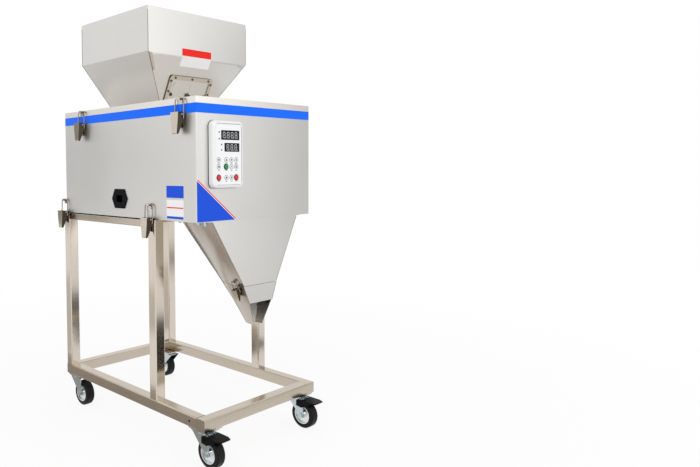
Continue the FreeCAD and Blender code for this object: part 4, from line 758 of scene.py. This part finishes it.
    def world(self) -> None:
        """An even white surrounding that shows as white."""
        world = bpy.data.worlds.new("studio")
        bpy.context.scene.world = world
        world.use_nodes = True
        tree = world.node_tree
        tree.nodes.clear()
        path = add(tree, "ShaderNodeLightPath")
        straight = add(tree, "ShaderNodeMath", {
            0: path.outputs["Is Camera Ray"], 1: path.outputs["Is Transmission Ray"]}, operation="MAXIMUM")
        seen = add(tree, "ShaderNodeMath", {0: straight.outputs[0], 1: path.outputs["Is Glossy Ray"]},
                   operation="MAXIMUM")
        level = add(tree, "ShaderNodeMapRange", {"Value": seen.outputs[0], "To Min": 0.8, "To Max": 1.0})
        sky = add(tree, "ShaderNodeBackground", {"Color": (1, 1, 1, 1), "Strength": level.outputs[0]})
        add(tree, "ShaderNodeOutputWorld", {"Surface": sky.outputs[0]})
        world.cycles.sampling_method = "NONE"

    def build(self) -> None:
        """Set the whole studio."""
        bpy.context.scene.view_settings.view_transform = "Standard"
        self.camera()
        self.floor()
        self.world()
        middle = Vector((0.0, 0.0, 0.6))
        self.lamp("soft_lamp_left", Vector((-2.6, -1.4, 2.6)), middle, 1.8, 22.0)
        self.lamp("soft_lamp_front", Vector((0.6, -3.0, 2.2)), middle, 1.8, 16.0)
        self.card("white_card_front", Vector((1.25, -2.9, 1.1)), middle, (1.3, 2.0), "#FFFFFF", 1.38)
        self.card("grey_card_right", Vector((2.9, -1.6, 1.0)), middle, (1.5, 1.6), "#9A9792")
        self.card("grey_card_left_rear", Vector((-1.7, 3.0, 0.75)), middle, (0.9, 0.9), "#A09E9B")
        self.low_card("dark_card_near", (0.33, -0.92), (0.85, 0.7), "#2A2520")
        self.low_card("brown_card_front", (2.15, -2.0), (1.2, 0.9), "#8A847A")
        self.low_card("grey_card_rear_left", (-0.75, 1.6), (1.6, 1.6), "#D6D3CF")
        self.low_card("brown_card_rear", (0.95, 1.4), (1.3, 1.2), "#4E463C")
        self.low_card("pale_card_left", (-0.36, 0.35), (0.24, 1.3), "#A9A39B")


@dataclass
class Stand:
    """Base, legs, top rails and their rubber strips."""

    edge: float = 0.4

    def build(self) -> None:
        """Dress the stand's solids."""
        dress("base_frame", TUBE_Y)
        dress("legs", TUBE_Z)
        dress("top_rails", TUBE_Y)
        dress("box_gasket", GASKET_AND_SHADOW_RING)
        dress("caster_plates", ZINC, self.edge)


@dataclass
class SheetBox:
    """The box with its lid, stripe, decal and blank labels."""

    stripe_low: float = 864.0
    stripe_high: float = 887.2
    vinyl: float = 0.25
    half_width: float = 212.0
    front: float = -301.0
    rear: float = 303.0
    corner: float = 3.0
    decal_corner: Point = (-210.5, 602.5)
    decal_foot_x: float = -84.0
    decal_top_z: float = 701.0
    label_y: float = 220.5

    def stripe(self) -> None:
        """The blue band round the top of the walls, in one run round the corners."""
        mesh = bmesh.new()
        middle = (self.front + self.rear) / 2
        rings = []
        for proud, height in ((LIFT, self.stripe_low), (self.vinyl, self.stripe_low),
                              (self.vinyl, self.stripe_high), (LIFT, self.stripe_high)):
            depth = self.rear - self.front + 2 * proud
            outline = rounded(2 * (self.half_width + proud), depth, self.corner + proud)
            rings.append([mesh.verts.new(Vector((x, y + middle, height)) * MM) for x, y in outline])
        walls(mesh, rings + rings[:1])
        band = Piece("stripe_blue", VINYL_BLUE, mesh=mesh).finished(smooth=True)
        band.data.set_sharp_from_angle(angle=math.radians(30))

    def corner_decal(self) -> None:
        """The triangular decal in the front wall's lower corner, edged in white and red."""
        x, z = self.decal_corner
        top, foot = (x, self.decal_top_z), (self.decal_foot_x, z)
        Piece("decal_blue", VINYL_DEEP).plate(Side.FRONT, [(x, z), foot, top], LIFT, self.vinyl).finished()
        run = Vector((foot[0] - top[0], foot[1] - top[1])).normalized()
        out = Vector((-run.y, run.x))
        edges = (("decal_white_edge", VINYL_WHITE, 0.2, 1.8), ("decal_red_edge", VINYL_RED, 1.8, 4.6))
        for name, finish, near, far in edges:
            ring = []
            for end, off in ((top, near), (foot, near), (foot, far), (top, far)):
                p = Vector(end) + out * off
                ring.append((p.x, max(p.y, z)))
            Piece(name, finish).plate(Side.FRONT, ring, LIFT, self.vinyl).finished()

    def side_labels(self) -> None:
        """Blank labels low on the left wall, near the front."""
        low, high = self.vinyl, self.vinyl + 0.06
        y = self.label_y
        for name, finish, outline, base, face in (
                ("label_blue", VINYL_DEEP, shifted(rounded(66, 30, 2), y, 674.0), LIFT, low),
                ("label_white", VINYL_WHITE, shifted(rounded(66, 48, 2), y, 630.0), LIFT, low),
                ("label_red_line", VINYL_RED, rectangle(y - 31.5, y + 31.5, 633, 636), low, high),
                ("label_blue_foot", VINYL_DEEP, rectangle(y - 32, y + 32, 606.8, 613), low, high)):
            Piece(name, finish).plate(Side.LEFT, outline, base, face).finished()

    def build(self) -> None:
        """Dress the box and put on what is stuck to it."""
        dress("housing", SHEET_STEEL)
        dress("lid", LID_STEEL)
        dress("fixing_screws", ZINC)
        dress("inlet_socket", INLET, 0.3)
        self.stripe()
        self.corner_decal()
        self.side_labels()


@dataclass
class Hopper:
    """The hopper, its gate and the gate's guide."""

    vinyl: float = 0.25
    frame_face: float = 3.8
    bead: float = 0.8
    front_seam: tuple[Place, ...] = ((184.0, -83.0, 1150.0), (184.0, -83.0, 1042.0), (89.6, -14.6, 905.2))
    rear_seam: tuple[Place, ...] = ((184.0, 242.0, 1150.0), (184.0, 242.0, 1042.0), (89.6, 215.0, 905.2))
    tab: tuple[Point, ...] = ((-182.0, -1.0), (-151.5, -50.5), (-146.0, -47.0), (-170.0, -3.0))
    label_reach: Point = (-66.0, 42.0)
    band_low: float = 1042.0

    def stands_proud(self, middle: Vector, normal: Vector) -> bool:
        """Whether a face of the gate's guide is on a bolt or stud over its frame, or on the frame's flank."""
        origin, across, up = (Vector(v) for v in Side.SLOPE.value)
        out = across.cross(up)
        height = (middle - origin * MM).dot(out)
        return height > self.frame_face * MM or normal.dot(out) < 0.5

    def seams(self) -> None:
        """Weld beads down the hopper's corners to just over the lid, and the folded tab at the near corner."""
        seams = (self.front_seam, self.rear_seam)
        lines = [[sided(side, place) for place in seam] for side in (-1, 1) for seam in seams]
        seams_piece("hopper_weld_seams", lines, self.bead, WELD_STEEL, "hopper")
        tab = Piece("hopper_corner_tab", PRESSED_STEEL, "hopper")
        tab.plate(Side.SLOPE, self.tab, 0.05, 2.0, 0.4).finished()

    def label(self) -> None:
        """A blank label over the bend between band and slope, red above and white below."""
        x0, x1 = self.label_reach
        for name, finish, side, y0, y1 in (
                ("hopper_label_red", VINYL_RED, Side.BAND, self.band_low + 0.5, self.band_low + 20),
                ("hopper_label_white", VINYL_WHITE, Side.SLOPE, -30, -0.4)):
            Piece(name, finish, "hopper").plate(side, rectangle(x0, x1, y0, y1), LIFT, self.vinyl).finished()

    def build(self) -> None:
        """Dress the hopper."""
        dress("hopper", HOPPER_STEEL)
        dress("hopper_gate", HOPPER_STEEL)
        # The guide's frame flanks and bolt heads get the dark steel: painted shade.
        dress("gate_guide", PRESSED_STEEL, 0.0, (FLANK_PAINTED_SHADE, self.stands_proud))
        self.label()
        self.seams()


@dataclass
class Keypad:
    """The control panel: frame, painted shadow ring, film, windows, digits, lamps and flat keys."""

    place: Point = (-120.5, 765.0)
    width: float = 105.0
    height: float = 164.0
    corner: float = 14.0
    shadow_ring: float = 0.9
    columns: tuple[float, ...] = (-33.5, -8.0, 9.5, 26.0)
    rows: tuple[float, ...] = (-13.5, -30.0, -56.5)
    raised: tuple[Point, ...] = ((-9.0, -30.0), (-33.5, -56.5), (26.0, -56.5))
    lamp_places: tuple[Point, ...] = ((-31.5, 53.5), (-31.5, 37.5), (-23.5, 23.5), (-23.5, 10.5))
    upper_window: tuple[float, ...] = (6.0, 46.8, 62.0, 23.0)
    lower_window: tuple[float, ...] = (11.5, 17.2, 51.0, 21.0)
    digit_size: Point = (7.0, 13.6)
    digit_pitch: float = 13.6
    bar: float = 1.15
    bar_point: float = 0.6
    bar_gap: float = 0.5
    edge_inset: float = 7.4
    edge_line: float = 0.7
    edge_gap: float = 6.0

    def segment(self, x: float, y: float, reach: float, upright: bool) -> list[Point]:
        """Outline of one bar of a digit, with pointed ends.

        Args:
            x: Its middle across the panel.
            y: Its middle up the panel.
            reach: Half its length.
            upright: Whether it stands up.

        Returns:
            The outline.
        """
        half, end = self.bar / 2, reach - self.bar_point
        outline = [(-reach, 0.0), (-end, -half), (end, -half), (reach, 0.0), (end, half), (-end, half)]
        return shifted([(-b, a) for a, b in outline] if upright else outline, x, y)

    def digits(self, x0: float, y0: float, count: int) -> list[list[Point]]:
        """Outlines of seven-segment eights with their points.

        Args:
            x0: Middle of the first digit.
            y0: Middle height of the digits.
            count: How many digits.

        Returns:
            One outline for each segment, in millimetres.
        """
        wide, high = self.digit_size
        outlines = []
        for n in range(count):
            x = x0 + n * self.digit_pitch
            for dy in (-high / 2, 0.0, high / 2):
                outlines.append(self.segment(x, y0 + dy, wide / 2 - self.bar_gap, False))
            for dx in (-wide / 2, wide / 2):
                for dy in (-high / 4, high / 4):
                    outlines.append(self.segment(x + dx, y0 + dy, high / 4 - self.bar_gap, True))
            outlines.append(shifted(disc(0.8, 10), x + wide / 2 + 2.1, y0 - high / 2))
        return outlines

    def marks(self, kind: int) -> list[list[Point]]:
        """A plain printed sign for one key.

        Args:
            kind: Which of the signs.

        Returns:
            Its outlines about the key's middle, in millimetres.
        """
        up, bar = [(-2.8, -1.8), (2.8, -1.8), (0.0, 2.8)], rectangle(-2.9, 2.9, -0.7, 0.7)
        signs = (
            [[(-3.0, 0.0), (0.0, -3.0), (3.0, 0.0), (0.0, 3.0)]],
            [up],
            [[(x, -y) for x, y in reversed(up)]],
            [bar, rectangle(-0.7, 0.7, 0.7, 2.9), rectangle(-0.7, 0.7, -2.9, -0.7)],
            [rectangle(-2.3, 2.3, -2.3, 2.3)],
            [bar],
            [rectangle(-2.6, -0.7, -2.6, 2.6), rectangle(0.7, 2.6, -2.6, 2.6)],
            [disc(2.6, 14)],
            [[(-1.8, -2.8), (2.8, 0.0), (-1.8, 2.8)]],
        )
        return signs[kind % len(signs)]

    def keys(self) -> None:
        """The flat keys with their rings, signs and legend lines."""
        keys = Piece("keypad_keys", FILM_KEY)
        rings = Piece("keypad_rings", FILM_LINE)
        signs = Piece("keypad_signs", FILM_LINE)
        kind = 0
        for y in self.rows:
            for x in self.columns:
                signs.plate(Side.KEYPAD, rectangle(x - 3.2, x + 3.2, y - 9.6, y - 8.7), PRINT_LIFT, 0.1)
                if any(math.hypot(x - a, y - b) < 2.5 for a, b in self.raised):
                    continue
                rings.plate(Side.KEYPAD, shifted(disc(6.6), x, y), PRINT_LIFT, 0.12)
                keys.plate(Side.KEYPAD, shifted(disc(5.8), x, y), LIFT, 0.7, 0.4)
                for outline in self.marks(kind):
                    signs.plate(Side.KEYPAD, shifted(outline, x, y), 0.7, 0.78)
                kind += 1
        for x, y in self.raised:
            rings.plate(Side.KEYPAD, shifted(disc(8.0), x, y), PRINT_LIFT, 0.3)
        for piece in (keys, rings, signs):
            piece.finished()

    def build(self) -> None:
        """Dress the panel."""
        dress("panel_bezel", ABS_WHITE)
        dress("keypad", FILM)
        dress("start_key", KEY_GREEN, 0.2)
        dress("stop_key", KEY_RED, 0.2)
        dress("clear_key", KEY_RED, 0.2)
        # A black ring just wider than the frame: painted shadow along the panel's edge.
        shadow_ring = rounded(self.width + 2 * self.shadow_ring, self.height + 2 * self.shadow_ring, self.corner + self.shadow_ring)
        Piece("panel_shadow_ring", GASKET_AND_SHADOW_RING).plate(Side.FRONT, shifted(shadow_ring, *self.place), LIFT, 1.0).finished()
        windows = Piece("display_windows", WINDOW)
        for x, y, width, height in (self.upper_window, self.lower_window):
            windows.plate(Side.KEYPAD, shifted(rounded(width, height, 1.2), x, y), LIFT, 0.5, 0.2)
        windows.finished()
        segments = Piece("display_segments", DIGIT)
        upper, lower = self.upper_window[1], self.lower_window[1]
        for outline in self.digits(-15.5, upper, 4) + self.digits(-3.0, lower, 3):
            segments.plate(Side.KEYPAD, outline, 0.5, 0.62)
        segments.finished()
        edge = Piece("film_edge", FILM_EDGE)
        x, y = self.width / 2 - self.edge_inset, self.height / 2 - self.edge_inset
        run_x, run_y, line = x - self.edge_gap, y - self.edge_gap, self.edge_line
        for corners in ((-run_x, run_x, y - line, y), (-run_x, run_x, -y, line - y),
                        (-x, line - x, -run_y, run_y), (x - line, x, -run_y, run_y)):
            edge.plate(Side.KEYPAD, rectangle(*corners), PRINT_LIFT, 0.1)
        edge.finished()
        lamps = Piece("keypad_lamps", LENS)
        for x, y in self.lamp_places:
            lamps.plate(Side.KEYPAD, shifted(disc(2.0, 16), x, y), LIFT, 0.9, 0.5)
        lamps.finished()
        self.keys()


@dataclass
class Chute:
    """The chute and its nozzle, with the spot welds and beads along their front edges."""

    trough_turn: float = -0.2
    welds: int = 13
    bead: float = 0.7
    lip: Place = (0.0, -281.0, 322.0)
    lean: float = 0.352
    upper_seam: tuple[Place, ...] = ((158.5, -299.0, 598.0), (62.0, -310.0, 431.5))
    lower_seam: tuple[Place, ...] = ((62.0, -310.0, 428.5), (43.4, -312.0, 385.0))
    first_weld: Place = (151.5, -291.5, 585.0)
    last_weld: Place = (66.8, -302.0, 443.0)
    weld_facing: Place = (0.88, -0.15, -0.45)

    def is_inside(self, middle: Vector, normal: Vector) -> bool:
        """Whether a face of the nozzle looks towards its middle line."""
        axis_y = self.lip[1] * MM + (middle.z - self.lip[2] * MM) * self.lean
        return middle.x * normal.x + (middle.y - axis_y) * normal.y < -0.002

    def is_trough(self, middle: Vector, normal: Vector) -> bool:
        """Whether a face is in the rear of the nozzle's trough, which gets the painted highlight."""
        return normal.y < self.trough_turn and self.is_inside(middle, normal)

    def is_rolled(self, middle: Vector, normal: Vector) -> bool:
        """Whether a face lies behind the flat front."""
        return normal.y > -0.8 and abs(normal.z) < 0.9

    def build(self) -> None:
        """Dress the chute and nozzle."""
        rolled = (CHUTE_ROLLED, self.is_rolled)
        dress("chute", SHEET_STEEL, 0.0, rolled)
        # The trough's rear gets a pale painted highlight.
        dress("nozzle", SHEET_STEEL, 0.0, rolled,
              (NOZZLE_INSIDE, self.is_inside), (NOZZLE_TROUGH_HIGHLIGHT, self.is_trough))
        seams = (self.upper_seam, self.lower_seam)
        lines = [[sided(side, place) for place in seam] for seam in seams for side in (-1, 1)]
        seams_piece("chute_weld_seams", lines, self.bead, WELD_STEEL)
        rows = []
        for side in (-1, 1):
            ends = [sided(side, place) for place in (self.first_weld, self.last_weld, self.weld_facing)]
            rows.append(DomeRow(self.welds, *ends, 1.6, 0.35))
        rows_piece("chute_spot_welds", rows, PRESSED_STEEL)


@dataclass
class Latches:
    """The toggle latches on lid, stand and nozzle."""

    edge: float = 0.25
    pin_out: float = 220.0
    pin_drop: float = 5.0
    pin_sunk: float = 0.1
    head: float = 2.8
    head_flatness: float = 0.15

    def is_flank(self, middle: Vector, normal: Vector) -> bool:
        """Whether a pressing's face looks along its pin."""
        return abs(normal.y) > 0.7

    def pin_heads(self, name: str) -> None:
        """Rivet heads on both ends of a large lever's pin."""
        low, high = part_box(name)
        side = 1 if low.x > 0 else -1
        pin_z = high.z / MM - self.pin_drop
        start = (side * self.pin_out, low.y / MM + self.pin_sunk, pin_z)
        end = (side * self.pin_out, high.y / MM - self.pin_sunk, pin_z)
        row = DomeRow(2, start, end, (0.0, 1.0, 0.0), self.head, self.head_flatness)
        rows_piece(name + "_pin_heads", [row], PRESSED_STEEL, name)

    def build(self) -> None:
        """Dress every latch."""
        # The pressings' flanks get the dark steel: painted shade for the dark reflections between their folds.
        flank = (FLANK_PAINTED_SHADE, self.is_flank)
        dress("latch_plates", PRESSED_STEEL, 0.0, flank)
        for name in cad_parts:
            if name.startswith("latch_lever"):
                dress(name, PRESSED_STEEL, self.edge, flank)
                if "nozzle" not in name:
                    self.pin_heads(name)
            elif name.startswith("latch_bail"):
                dress(name, WIRE_PAINTED_DARK)


@dataclass
class Casters:
    """Forks, wheels and brake pedals."""

    edge: float = 0.4
    hub_radius: float = 24.9

    def build(self) -> None:
        """Dress every caster."""
        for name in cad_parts:
            if name.startswith("caster_fork"):
                dress(name, ZINC, self.edge)
            elif name.startswith("caster_wheel"):
                low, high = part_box(name)
                axle, reach = (low + high) / 2, self.hub_radius * MM
                dress(name, RUBBER, 0.0, (HUB, lambda at, _: math.hypot(at.y - axle.y, at.z - axle.z) < reach))
            elif name.startswith("brake_pedal"):
                dress(name, NYLON, self.edge)


@dataclass
class Inside:
    """What works inside the box."""

    edge: float = 0.4

    def build(self) -> None:
        """Dress the feeder, the weighing bucket and their drives."""
        for name in ("feed_trough", "weigh_bucket", "bucket_door", "weigh_stand"):
            dress(name, SHEET_STEEL)
        for name in ("feeder_drive", "door_solenoid"):
            dress(name, IRON_PAINT, self.edge)
        dress("leaf_springs", WIRE_PAINTED_DARK)
        dress("load_cell", ALUMINIUM, self.edge)
        dress("solenoid_rod", ZINC)
        dress("control_board", CASE)


def main() -> None:
    """Build the scene in order and log each part."""
    logging.basicConfig(level=logging.INFO, format="%(name)s: %(message)s")
    for part in (Studio(), Stand(), SheetBox(), Hopper(), Keypad(), Chute(), Latches(), Casters(), Inside()):
        part.build()
        LOG.info("built %s", type(part).__name__)


if __name__ == "__main__":
    main()
